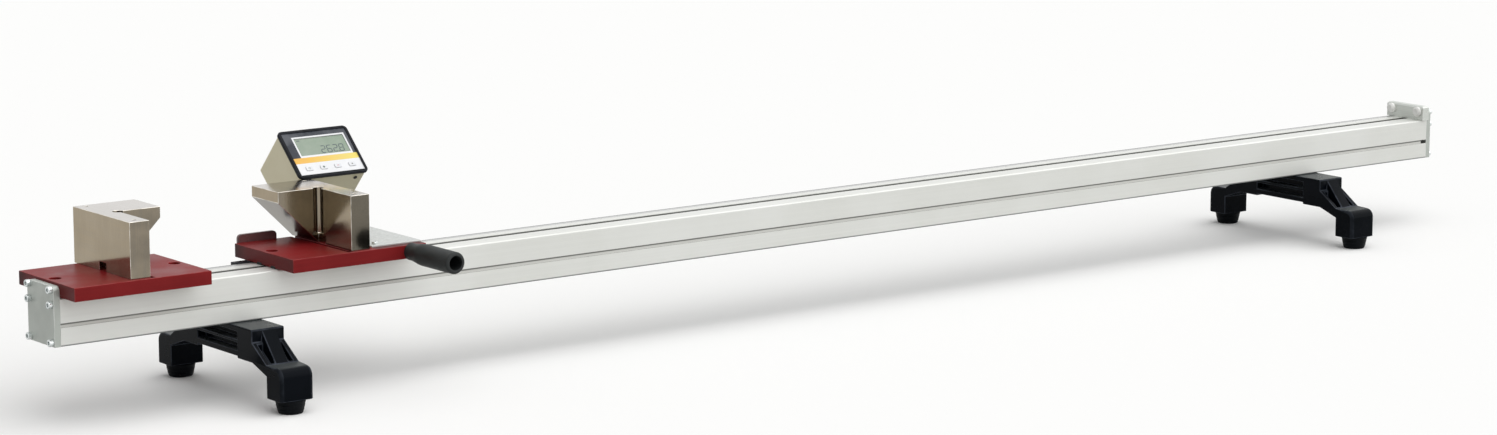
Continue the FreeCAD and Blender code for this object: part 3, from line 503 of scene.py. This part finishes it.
def glide_plastic():
    """Black low-friction plastic."""
    finish = Finish("glide_plastic", seen(20, 20, 22), 0.45, Specular_IOR_Level=0.2)
    finish.tint(finish.effect("soft_marks", Scale=40.0), seen(28, 28, 30))
    finish.gloss(finish.effect("moulded_grain", Size=0.7 * MM), 0.4, 0.55)
    return finish.material


def stop_steel():
    """Ground steel, with painted shade in front and underneath, and a painted highlight on top and along its
    edges.
    """
    finish = Finish("stop_steel", seen(156, 142, 118), 0.14, metallic=1.0)
    lines = finish.effect("fine_lines", Stretch=(700, 700, 10))
    marks = finish.effect("soft_marks", Scale=26.0)
    across, back, up = finish.axes()
    # Painted shade on faces that look to the front
    finish.tint(finish.facing("front"), seen(112, 107, 98))
    finish.tint(lines, seen(136, 124, 105), 0.6)
    finish.tint(marks, seen(170, 157, 136), 0.4)
    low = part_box("moving_stop")[0]
    # Painted shade on the moving stop's front
    moving_front = finish.both(finish.math("GREATER_THAN", across, low.x - stop_margin),
                               finish.math("LESS_THAN", back, low.y + stop_face_band))
    finish.tint(moving_front, seen(72, 70, 63), 0.7)
    # Painted highlight on the stops' tops, standing in for a bright reflection
    on_top = finish.math("GREATER_THAN", up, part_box("fixed_stop")[1].z - stop_face_band)
    finish.tint(on_top, seen(204, 200, 196), 0.85)
    finish.tint(finish.effect("fine_lines", Stretch=(700, 14, 700)), seen(140, 133, 122), 0.3)
    # Painted shade on faces that look down
    finish.tint(finish.facing("under"), seen(50, 46, 41))
    finish.tint(finish.effect("rubbed_and_highlit_edges"), seen(236, 231, 222), 0.9)
    finish.gloss(marks, 0.1, 0.19)
    finish.relief(lines, 0.005 * MM)
    return finish.material


def buffer_white():
    """White buffer plastic, a little scuffed."""
    finish = Finish("buffer_white", seen(246, 246, 243), 0.5)
    finish.tint(finish.effect("soft_marks", Scale=120.0), seen(230, 230, 226))
    finish.gloss(finish.effect("moulded_grain", Size=0.6 * MM), 0.42, 0.58)
    return finish.material


def leg_plastic():
    """Satin black moulded plastic, with a painted sheen on its level tops and a painted highlight along its
    edges.
    """
    finish = Finish("leg_plastic", seen(4, 8, 13), 0.28, Specular_IOR_Level=0.04)
    grain = finish.effect("moulded_grain", Size=0.9 * MM)
    marks = finish.effect("soft_marks", Scale=24.0)
    finish.tint(marks, seen(9, 13, 19))
    # Painted sheen: level tops paler, standing in for light glancing off them
    finish.tint(finish.spread(finish.facing("top"), level_top, 1.0), seen(66, 70, 71))
    # Painted highlight along the eased edges, with some rubbing
    finish.tint(finish.effect("rubbed_and_highlit_edges"), seen(74, 79, 88), 0.8)
    finish.gloss(marks, 0.22, 0.34)
    finish.relief(grain, 0.015 * MM)
    return finish.material


def foot_rubber():
    """Matte black rubber with a trace of dust."""
    finish = Finish("foot_rubber", seen(8, 11, 14), 0.5, Specular_IOR_Level=0.07)
    finish.tint(finish.effect("soft_marks", Scale=70.0), seen(14, 17, 20))
    finish.relief(finish.effect("moulded_grain", Size=0.6 * MM), 0.06 * MM)
    return finish.material


def black_plastic():
    """Matte black moulded plastic."""
    finish = Finish("black_plastic", seen(12, 14, 18), 0.4, Specular_IOR_Level=0.1)
    grain = finish.effect("moulded_grain", Size=0.6 * MM)
    finish.tint(finish.effect("soft_marks", Scale=35.0), seen(20, 21, 27))
    finish.tint(finish.effect("rubbed_and_highlit_edges"), seen(52, 55, 62), 0.7)
    finish.gloss(grain, 0.34, 0.46)
    finish.relief(grain, 0.03 * MM)
    return finish.material


def grip_skin():
    """The grip's soft matte skin, a little polished by the hand."""
    finish = Finish("grip_skin", seen(30, 33, 33), 0.5, Specular_IOR_Level=0.3)
    marks = finish.effect("soft_marks", Scale=45.0)
    finish.tint(marks, seen(40, 43, 43))
    finish.gloss(marks, 0.46, 0.62)
    finish.relief(finish.effect("moulded_grain", Size=0.7 * MM), 0.06 * MM)
    return finish.material


def tab_lacquer():
    """Dark red-brown glossy lacquer."""
    finish = Finish("tab_lacquer", seen(112, 73, 74), 0.3)
    marks = finish.effect("soft_marks", Scale=40.0)
    finish.tint(marks, seen(98, 63, 64))
    finish.tint(finish.effect("rubbed_and_highlit_edges"), seen(30, 28, 30), 0.9)
    finish.gloss(marks, 0.24, 0.36)
    return finish.material


def bracket_sheet():
    """Hot-dipped steel sheet."""
    finish = Finish("bracket_sheet", seen(208, 211, 209), 0.42, metallic=0.4)
    flowers = finish.effect("zinc_flowers", Size=2.2 * MM)
    finish.tint(flowers, seen(184, 188, 185), 0.6)
    finish.tint(finish.effect("rubbed_and_highlit_edges"), seen(230, 232, 230), 0.7)
    finish.gloss(flowers, 0.34, 0.5)
    return finish.material


def case_paint():
    """Champagne metallic lacquer, shaded underneath."""
    finish = Finish("case_paint", seen(222, 214, 182), 0.42, metallic=0.2, Coat_Weight=0.15,
                    Coat_Roughness=0.3)
    flakes = finish.effect("zinc_flowers", Size=0.35 * MM)
    finish.tint(flakes, seen(210, 202, 170), 0.7)
    finish.tint(finish.effect("soft_marks", Scale=18.0), seen(228, 221, 192), 0.5)
    up = finish.on_console()["Y"]
    finish.tint(finish.math("LESS_THAN", up, case_foot + underside_shade), seen(186, 180, 152))
    finish.tint(finish.effect("rubbed_and_highlit_edges"), seen(236, 230, 208), 0.6)
    finish.gloss(flakes, 0.36, 0.48)
    return finish.material


def panel_film():
    """The face's printed film: a slate field with a white line round the display, a band and a white foot."""
    finish = Finish("panel_film", seen(238, 239, 241), 0.38, Specular_IOR_Level=0.3)
    across, up, _ = finish.on_console()
    finish.tint(finish.math("GREATER_THAN", up, band_high), seen(34, 40, 51))
    line_mask = finish.both(finish.inside(across, lcd_left - lcd_border, lcd_right + lcd_border),
                            finish.inside(up, band_high, lcd_high + lcd_border))
    finish.tint(line_mask, seen(238, 239, 241))
    amber = finish.mixed(finish.spread(across, lcd_left, lcd_right), seen(238, 186, 84), seen(242, 220, 104))
    finish.tint(finish.inside(up, band_low, band_high), amber)
    finish.tint(finish.effect("soft_marks", Scale=60.0), seen(196, 198, 204), 0.12)
    grain = finish.effect("moulded_grain", Size=0.35 * MM)
    finish.gloss(grain, 0.32, 0.46)
    finish.relief(grain, 0.01 * MM)
    return finish.material


def display_glass():
    """A reflective grey-green display behind glass, with painted shade along its upper edge, below the
    bezel's recess.
    """
    finish = Finish("display_glass", seen(132, 149, 131), 0.22, Coat_Weight=0.2, Coat_Roughness=0.06)
    across, up, _ = finish.on_console()
    finish.tint(finish.spread(across, lcd_left, lcd_right), seen(124, 145, 123))
    # Painted shade from the bezel's recess along the display's upper edge
    finish.tint(finish.spread(up, lcd_high - lcd_shade, lcd_high), seen(88, 98, 88), 0.9)
    finish.tint(finish.effect("soft_marks", Scale=55.0), seen(152, 164, 148), 0.4)
    return finish.material


def display_ink():
    """The dark segments of the figures."""
    finish = Finish("display_ink", seen(58, 74, 76), 0.3)
    finish.tint(finish.effect("soft_marks", Scale=300.0), seen(70, 88, 90))
    return finish.material


def board_green():
    """Solder mask over copper."""
    finish = Finish("board_green", seen(40, 108, 66), 0.4)
    finish.tint(finish.effect("zinc_flowers", Size=3 * MM), seen(34, 92, 58))
    finish.gloss(finish.effect("soft_marks", Scale=80.0), 0.32, 0.5)
    return finish.material


def key_plastic():
    """Pale key caps."""
    finish = Finish("key_plastic", seen(236, 237, 240), 0.45, Specular_IOR_Level=0.3)
    grain = finish.effect("moulded_grain", Size=0.3 * MM)
    finish.tint(finish.effect("soft_marks", Scale=150.0), seen(226, 228, 232))
    finish.gloss(grain, 0.38, 0.52)
    finish.relief(grain, 0.015 * MM)
    return finish.material


def mark_ink(name, colour):
    """Print on a key, worn thin in spots."""
    finish = Finish(name, colour, 0.5)
    finish.tint(finish.effect("soft_marks", Scale=500.0), seen(190, 192, 196), 0.35)
    return finish.material


# Mesh work

def merged_copy(node):
    """A CAD piece's mesh as one welded bmesh with whole flat faces."""
    bm = bmesh.new()
    bm.from_mesh(nodes[node].data)
    bmesh.ops.remove_doubles(bm, verts=bm.verts, dist=merge_distance)
    bmesh.ops.dissolve_limit(bm, angle_limit=flat_angle, verts=bm.verts, edges=bm.edges)
    return bm


def sharp_edges(bm):
    """The edges where two faces meet at a clear angle."""
    return [edge for edge in bm.edges if edge.is_manifold and edge.calc_face_angle(0.0) > sharp_angle]


def ease(bm, edges, width, segments, rub_and_highlight=1.0):
    """Bevel some edges and mark the new faces as eased, with how much rubbing and painted edge highlight they
    show.
    """
    eased_mark = bm.faces.layers.float.get("eased") or bm.faces.layers.float.new("eased")
    made = bmesh.ops.bevel(bm, geom=edges, offset=width, offset_type="OFFSET", segments=segments, profile=0.5,
                           affect="EDGES", clamp_overlap=False, material=-1)
    for face in made["faces"]:
        face[eased_mark] = rub_and_highlight


def mark_sides(bm, **sides):
    """Mark how far each face looks to some sides."""
    bm.normal_update()
    for name, direction in sides.items():
        mark = bm.faces.layers.float.new(name)
        for face in bm.faces:
            face[mark] = max(0.0, face.normal.dot(direction))


def new_piece(name, bm, body, material, stands_for=()):
    """A finished piece from a bmesh, which rides on a body and stands for CAD pieces."""
    mesh = bpy.data.meshes.new(name)
    bm.to_mesh(mesh)
    bm.free()
    mesh.shade_smooth()
    mesh.set_sharp_from_angle(angle=crease_angle)
    mesh.materials.append(material)
    piece = bpy.data.objects.new(name, mesh)
    bpy.context.scene.collection.objects.link(piece)
    piece.modifiers.new("even_shading", "WEIGHTED_NORMAL").keep_sharp = True
    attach(piece, body)
    if stands_for:
        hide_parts(*stands_for)


def body_of(node):
    """The body that a CAD piece rides on."""
    return nodes[node]["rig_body"]


def stand_in(node, bm, ending, material=None):
    """A piece that stands for one CAD piece, on its body and with its finish."""
    slot = slot_of[node]
    new_piece(node + ending, bm, body_of(node), material or finishes[slot], (node,))


def turned(bm, outline, steps):
    """Spin an outline of (radius, height) pairs into a solid, and give back its vertices."""
    before = set(bm.verts)
    points = [bm.verts.new((radius, 0, height)) for radius, height in outline]
    edges = [bm.edges.new(pair) for pair in zip(points, points[1:])]
    if outline[0][0] > 0:
        edges.append(bm.edges.new((points[-1], points[0])))
    bmesh.ops.spin(bm, geom=points + edges, cent=(0, 0, 0), axis=UP, angle=math.tau, steps=steps,
                   use_merge=True)
    made = [vertex for vertex in bm.verts if vertex not in before]
    bmesh.ops.remove_doubles(bm, verts=made, dist=spin_merge_distance)
    made = [vertex for vertex in bm.verts if vertex not in before]
    faces = {face for vertex in made for face in vertex.link_faces}
    bmesh.ops.recalc_face_normals(bm, faces=list(faces))
    return made


def aim(place, direction):
    """The placement that turns +Z to a direction and moves the origin to a place."""
    return Matrix.Translation(place) @ direction.to_track_quat("Z", "Y").to_matrix().to_4x4()


def loose_solids(node):
    """Lowest and highest corner of each separate solid of a CAD piece."""
    bm = merged_copy(node)
    left = set(bm.verts)
    corners = []
    while left:
        reached, edge_of_reach = set(), [left.pop()]
        while edge_of_reach:
            vertex = edge_of_reach.pop()
            reached.add(vertex)
            beside = {edge.other_vert(vertex) for edge in vertex.link_edges} & left
            left -= beside
            edge_of_reach.extend(beside)
        places = [vertex.co for vertex in reached]
        corners.append([Vector([pick(place[axis] for place in places) for axis in range(3)])
                        for pick in (min, max)])
    bm.free()
    return corners


# Screws

def hexagon_radius(corner_radius, turn):
    """Radius of a hexagon's outline at an angle from one of its corners."""
    sixth = math.tau / 6
    return corner_radius * math.cos(sixth / 2) / math.cos(turn % sixth - sixth / 2)


def socket_screw(bm, seat, outward, head, head_height, length):
    """Add a turned cap screw with a hexagon socket, its head standing off a seat."""
    rim, shank, key = head / 2, head * shank_share / 2, head * socket_share
    soft = min(head * head_round_share, head_height * head_round_limit)
    corner, foot = soft * round_corner_share, soft * round_foot_share
    floor = head_height - min(head * socket_depth_share, head_height * socket_depth_limit)
    outline = [(0, -length), (shank - screw_tip_bevel, -length), (shank, screw_tip_bevel - length),
               (shank, 0), (rim - foot, 0), (rim, foot), (rim, head_height - soft),
               (rim - corner, head_height - corner), (rim - soft, head_height),
               (key * socket_mouth_share, head_height), (key, head_height - corner), (key, floor), (0, floor)]
    made = turned(bm, outline, screw_steps)
    for vertex in made:
        radius = vertex.co.xy.length
        if vertex.co.z > 0 and 0 < radius < key * socket_reach_share:
            wanted = hexagon_radius(key, math.atan2(vertex.co.y, vertex.co.x))
            vertex.co.xy *= wanted / radius
    bmesh.ops.transform(bm, matrix=aim(seat, outward), verts=made)


def screw_group(node, outward, head_height, finish="screw_steel", sunk=0.0):
    """Turned screws in the places of a CAD screw group, with their heads outward and sunk where asked."""
    axis = max(range(3), key=lambda number: abs(outward[number]))
    side = [number for number in range(3) if number != axis][0]
    bm = bmesh.new()
    for low, high in loose_solids(node):
        head = high[side] - low[side]
        seat = (low + high) / 2
        seat[axis] = (high[axis] - head_height) if outward[axis] > 0 else (low[axis] + head_height)
        length = (high[axis] - low[axis]) - head_height
        socket_screw(bm, seat, outward, head, head_height - sunk, length)
    stand_in(node, bm, "_turned", finishes[finish])


def small_screws(name, places, outward, head=small_head, head_height=m4_head, finish="screw_steel"):
    """Small screws that are too fine for the CAD pieces."""
    bm = bmesh.new()
    for place in places:
        socket_screw(bm, place, outward, head, head_height, small_screw_length)
    new_piece(name, bm, "carriage", finishes[finish])


def on_face(across, up, out=0.0):
    """A point given on the console's face."""
    return console_corner + console_turn @ Vector((across, up, out))


def carriage_small_screws():
    """The small screws of the rear tab, the keeper bar and the console's case."""
    low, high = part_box("rear_tab")
    level = (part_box("carriage_plate")[0].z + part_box("carriage_plate")[1].z) / 2
    sides = (low.x + tab_screw_inset, high.x - tab_screw_inset)
    small_screws("rear_tab_small_screws", [Vector((x, high.y, level)) for x in sides], BACK)
    low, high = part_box("keeper_bar")
    sides = (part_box("carriage_plate")[0].x + keeper_screw_inset, high.x - keeper_screw_inset)
    middle = (low.y + high.y) / 2
    small_screws("keeper_bar_small_screws", [Vector((x, middle, low.z)) for x in sides], -UP)
    _, up, out = console_axes()
    case_depth = min(vertex.co.dot(out) for vertex in nodes["console_bracket"].data.vertices
                     if vertex.co.dot(up) > on_face(0, case_screw_level).dot(up)) - console_corner.dot(out)
    low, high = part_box("console_bracket")
    sides = [low.x + case_screw_side - console_corner.x, high.x - case_screw_side - console_corner.x]
    small_screws("case_rear_small_screws", [on_face(x, case_screw_level, case_depth) for x in sides], -out)
    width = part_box("bezel")[1].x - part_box("bezel")[0].x
    sides = (underside_screw_side, width - underside_screw_side)
    small_screws("case_foot_small_screws", [on_face(x, case_foot, -underside_screw_depth) for x in sides],
                 -up, low_head, low_head_height, "blackened_steel")


# Turned rubber and grip

def arc(centre, radius, start, end):
    """Points on an arc, given by its centre (radius, height) and its angles in degrees."""
    turns = [math.radians(start + (end - start) * step / round_segments)
             for step in range(round_segments + 1)]
    return [(centre[0] + radius * math.cos(turn), centre[1] + radius * math.sin(turn)) for turn in turns]


def rubber_foot(node):
    """A tapered foot with two ring grooves, a rounded tread edge and a recess for its screw."""
    low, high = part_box(node)
    height, top = high.z - low.z, (high.x - low.x) / 2
    base = top * foot_taper
    outline = [(foot_bore, height), (foot_bore, foot_recess_depth), (foot_recess, foot_recess_depth),
               (foot_recess, 0)]
    outline += arc((base - foot_edge, foot_edge), foot_edge, -90, 0)
    for level in foot_ring_levels:
        wall = base + (top - base) * level / height
        outline += [(wall, level - foot_ring_half), (wall - foot_ring_depth, level),
                    (wall, level + foot_ring_half)]
    outline += [(top, height - foot_ring_half), (top - foot_ring_half, height)]
    bm = bmesh.new()
    made = turned(bm, outline, turned_steps)
    middle = (low + high) / 2
    bmesh.ops.translate(bm, vec=(middle.x, middle.y, low.z), verts=made)
    stand_in(node, bm, "_turned")


def hand_grip():
    """The flared grip with a rounded open mouth, turned about its axis."""
    low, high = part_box("grip")
    length = high.y - low.y
    flare = []
    for step in range(curve_steps + 1):
        share = step / curve_steps
        swell = share * share * (3 - 2 * share)
        radius = grip_root + (grip_full - grip_root) * swell
        flare.append((radius, grip_straight + (grip_flare - grip_straight) * share))
    mouth = arc((grip_full - grip_mouth_round, length - grip_mouth_round), grip_mouth_round, 0, 90)
    lip = arc((grip_bore + grip_bore_round, length - grip_bore_round), grip_bore_round, 90, 180)
    floor = length - grip_bore_depth
    outline = [(grip_hole, 0), (grip_root, 0)] + flare + mouth + lip
    outline += [(grip_bore, floor), (grip_hole, floor)]
    bm = bmesh.new()
    made = turned(bm, outline, turned_steps)
    foot = Vector(((low.x + high.x) / 2, high.y, (low.z + high.z) / 2))
    bmesh.ops.transform(bm, matrix=aim(foot, -BACK), verts=made)
    stand_in("grip", bm, "_turned", finishes["grip_skin"])


# Legs and eased pieces

def moulded_leg(node):
    """A moulded leg: broad ribs on its arms, rounded foot blocks and hubs, and every other edge eased."""
    low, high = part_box(node)
    bm = merged_copy(node)
    middle = (low + high) / 2
    inner = high.y - middle.y - leg_block_depth
    for vertex in bm.verts:
        across, along = vertex.co.x - middle.x, abs(vertex.co.y - middle.y)
        if abs(across) < arm_rib_limit and leg_hub_outer - merge_distance < along < inner + leg_margin:
            vertex.co.x = middle.x + math.copysign(arm_rib_half, across)

    def on_block(edge):
        """True for an edge on the outer side outline of a foot block."""
        sides = [abs(vertex.co.x - middle.x) > high.x - middle.x - merge_distance for vertex in edge.verts]
        outer = [abs(vertex.co.y - middle.y) > inner + leg_block_round for vertex in edge.verts]
        return all(sides) and all(outer) and edge.verts[0].co.z + edge.verts[1].co.z > 2 * low.z + leg_margin

    def on_hub(edge):
        """True for an edge of a hub's outer face."""
        return all(abs(abs(vertex.co.y - middle.y) - leg_hub_outer) < merge_distance and vertex.co.z > seat
                   for vertex in edge.verts)

    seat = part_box("rail")[0].z - leg_hub_height
    ease(bm, list(filter(on_block, sharp_edges(bm))), leg_block_round, round_segments, block_rub_and_highlight)
    ease(bm, list(filter(on_hub, sharp_edges(bm))), leg_hub_round, round_segments, hub_rub_and_highlight)
    ease(bm, sharp_edges(bm), leg_edge, ease_segments)
    # The top mark carries the legs' painted sheen
    mark_sides(bm, top=UP)
    stand_in(node, bm, "_moulded")


def eased_piece(node, width):
    """A CAD piece with its sharp edges eased."""
    bm = merged_copy(node)
    ease(bm, sharp_edges(bm), width, ease_segments)
    # The front, left and under marks carry painted shade on the stops and on the red plates' left ends
    mark_sides(bm, front=-BACK, left=-ACROSS, under=-UP)
    stand_in(node, bm, "_eased", finishes.get(own_finishes.get(node)))


# Figures and key marks

def segment_bar(bm, middle, length, turned_up):
    """Add one pointed bar of a seven-segment figure, flat on its plane."""
    half, wide = length / 2, figure_stroke / 2
    outline = [(-half, 0), (-half + wide, wide), (half - wide, wide), (half, 0), (half - wide, -wide),
               (-half + wide, -wide)]
    points = [(-y, x) if turned_up else (x, y) for x, y in outline]
    return bm.faces.new([bm.verts.new((middle[0] + x, middle[1] + y, 0)) for x, y in points])


def segment_places():
    """Middle and direction of the seven bars of a figure, by their usual letters."""
    right, left = figure_width / 2, -figure_width / 2
    lower, middle, upper = figure_height / 4, figure_height / 2, figure_height * 3 / 4
    return {"a": ((0, figure_height), False), "b": ((right, upper), True), "c": ((right, lower), True),
            "d": ((0, 0), False), "e": ((left, lower), True), "f": ((left, upper), True),
            "g": ((0, middle), False)}


def display_figures():
    """The reading on the display: the distance between the stops, in generic figures."""
    lit = {"2": "abged", "6": "afgedc", "8": "abcdefg"}
    bm = bmesh.new()
    place = figure_right - figure_width / 2
    for letter in reversed(figure_text):
        if letter == ".":
            dot = bmesh.ops.create_grid(bm, x_segments=1, y_segments=1, size=figure_dot_half)
            bmesh.ops.translate(bm, vec=(place + figure_pitch / 2, 0, 0), verts=dot["verts"])
            continue
        for bar in lit[letter]:
            middle, upright = segment_places()[bar]
            length = (figure_height / 2 if upright else figure_width) - figure_gap
            face = segment_bar(bm, middle, length, upright)
            bmesh.ops.translate(bm, vec=(place, 0, 0), verts=face.verts)
        place -= figure_pitch
    for vertex in bm.verts:
        vertex.co.x += vertex.co.y * figure_lean
        vertex.co.y += figure_low
    segment_bar(bm, level_bar_place, level_bar_length, False)
    raise_flat(bm, figure_thickness)
    lay_on_console(bm, front_of("display_module"))
    new_piece("display_figures", bm, "carriage", display_ink())


def raise_flat(bm, thickness):
    """Give flat shapes a little thickness towards +Z."""
    made = bmesh.ops.extrude_face_region(bm, geom=list(bm.faces), use_keep_orig=True)
    lifted = [item for item in made["geom"] if isinstance(item, bmesh.types.BMVert)]
    bmesh.ops.translate(bm, vec=(0, 0, thickness), verts=lifted)
    bmesh.ops.recalc_face_normals(bm, faces=bm.faces)


def lay_on_console(bm, level):
    """Move shapes drawn in the face's plane to a level in front of or behind the bezel's front."""
    placement = Matrix.Translation(on_face(0, 0, level)) @ console_turn.to_4x4()
    bmesh.ops.transform(bm, matrix=placement, verts=bm.verts)


def front_of(node):
    """How far a CAD piece's front lies from the bezel's front plane."""
    out = console_axes()[2]
    return max(vertex.co.dot(out) for vertex in nodes[node].data.vertices) - console_corner.dot(out)


def key_mark(number, shape, colour):
    """A small generic mark on one key: a disc, a ring, a bar or a triangle."""
    node = "key_" + str(number)
    across, up, _ = console_axes()
    points = [vertex.co for vertex in nodes[node].data.vertices]
    middle_across = sum((pick(point.dot(across) for point in points)) for pick in (min, max)) / 2
    middle_up = sum((pick(point.dot(up) for point in points)) for pick in (min, max)) / 2
    bm = bmesh.new()
    bmesh.ops.create_circle(bm, cap_ends=True, segments=mark_corners[shape], radius=key_mark_size)
    if shape == "ring":
        made = bmesh.ops.inset_region(bm, faces=list(bm.faces), use_boundary=True, use_even_offset=True,
                                      thickness=mark_ring_wall)
        inner = [face for face in bm.faces if face not in made["faces"]]
        bmesh.ops.delete(bm, geom=inner, context="FACES_ONLY")
    if shape == "bar":
        bmesh.ops.rotate(bm, cent=(0, 0, 0), matrix=Matrix.Rotation(mark_bar_turn, 3, "Z"), verts=bm.verts)
        bmesh.ops.scale(bm, vec=mark_bar_shape, verts=bm.verts)
    raise_flat(bm, key_mark_thickness)
    offset = (middle_across - console_corner.dot(across), middle_up - console_corner.dot(up), 0)
    bmesh.ops.translate(bm, vec=offset, verts=bm.verts)
    lay_on_console(bm, front_of(node))
    new_piece(node + "_mark", bm, body_of(node), mark_ink(node + "_ink", colour))


def key_marks():
    """Marks on the four keys."""
    key_mark(1, "ring", seen(120, 140, 128))
    key_mark(2, "disc", seen(70, 92, 78))
    key_mark(3, "bar", seen(206, 120, 130))
    key_mark(4, "triangle", seen(96, 100, 70))


# Studio

def studio_floor():
    """A plain pale floor, which throws a little less light back up than it shows."""
    bm = bmesh.new()
    bmesh.ops.create_grid(bm, x_segments=1, y_segments=1, size=floor_size / 2)
    mesh = bpy.data.meshes.new("studio_floor")
    bm.to_mesh(mesh)
    bm.free()
    finish = Finish("studio_floor", seen(*floor_bounce_tone), floor_roughness, Specular_IOR_Level=0.0)
    finish.tint(finish.shown(), seen(*floor_tone))
    mesh.materials.append(finish.material)
    floor = bpy.data.objects.new("studio_floor", mesh)
    bpy.context.scene.collection.objects.link(floor)


def sky_lamp():
    """One very soft lamp from above the user's right shoulder, even over the whole floor."""
    lamp = bpy.data.lights.new("sky_lamp", "SUN")
    lamp.energy = sky_lamp_level
    lamp.angle = sky_lamp_spread
    holder = bpy.data.objects.new("sky_lamp", lamp)
    holder.rotation_euler = (-sky_lamp_from).to_track_quat("-Z", "Y").to_euler()
    bpy.context.scene.collection.objects.link(holder)


def studio_world():
    """Even soft light, with a white backdrop for the eye and for reflections."""
    world = bpy.data.worlds.new("studio")
    world.use_nodes = True
    bpy.context.scene.world = world
    wiring = Wiring(world.node_tree)
    light = world.node_tree.nodes["Background"]
    light.inputs["Color"].default_value = white
    light.inputs["Strength"].default_value = ambient_level
    backdrop = wiring.add("ShaderNodeBackground", inputs={"Color": white, "Strength": backdrop_level})
    mix = wiring.add("ShaderNodeMixShader", inputs={0: wiring.shown()})
    wiring.feed(mix.inputs[1], light.outputs[0])
    wiring.feed(mix.inputs[2], backdrop.outputs[0])
    wiring.feed(world.node_tree.nodes["World Output"].inputs["Surface"], mix.outputs[0])


def photo_camera():
    """The photograph's camera."""
    lens = bpy.data.cameras.new("photo_camera")
    lens.sensor_fit = "HORIZONTAL"
    lens.sensor_width = sensor_width_mm
    lens.lens = sensor_width_mm * focal_px / photo_width_px
    lens.clip_end = camera_reach
    flat = math.cos(camera_dip)
    forward = Vector((math.sin(camera_heading) * flat, math.cos(camera_heading) * flat,
                      -math.sin(camera_dip)))
    camera = bpy.data.objects.new("photo_camera", lens)
    camera.location = camera_aim - forward * camera_distance
    camera.rotation_euler = forward.to_track_quat("-Z", "Y").to_euler()
    bpy.context.scene.collection.objects.link(camera)
    bpy.context.scene.camera = camera


def studio():
    """Floor, light, backdrop and camera."""
    studio_floor()
    studio_world()
    sky_lamp()
    photo_camera()
    bpy.context.scene.view_settings.view_transform = "Standard"


def dress_cad_pieces():
    """Give every CAD piece the finish of its material slot."""
    for node, slot in slot_of.items():
        materials = nodes[node].data.materials
        materials.clear()
        materials.append(finishes[slot])


build_effects()
finish_makers = [anodised_rail, tape_steel, cover_strip, grey_end_plate, bar_aluminium, screw_steel,
                 red_plate, glide_plastic, stop_steel, buffer_white, leg_plastic, foot_rubber, black_plastic,
                 grip_skin, tab_lacquer, bracket_sheet, case_paint, panel_film, display_glass, board_green,
                 key_plastic, blackened_steel]
finishes = {maker.__name__: maker() for maker in finish_makers}
dress_cad_pieces()

for piece_node, edge_width in eased_edges.items():
    eased_piece(piece_node, edge_width)
for leg in ("near_leg", "far_leg"):
    moulded_leg(leg)
for foot in ("near_front_foot", "near_rear_foot", "far_front_foot", "far_rear_foot"):
    rubber_foot(foot)
hand_grip()
screw_group("near_end_screws", -ACROSS, m5_head)
screw_group("far_end_screws", ACROSS, m5_head)
screw_group("fixed_plate_screws", UP, m8_head, "blackened_steel", low_head_cut)
screw_group("slot_key_screws", UP, m8_head, "blackened_steel", low_head_cut)
screw_group("bracket_screws", UP, m4_head)
screw_group("leg_screws", -UP, m8_head)
screw_group("foot_screws", -UP, m6_head)
carriage_small_screws()
display_figures()
key_marks()
studio()
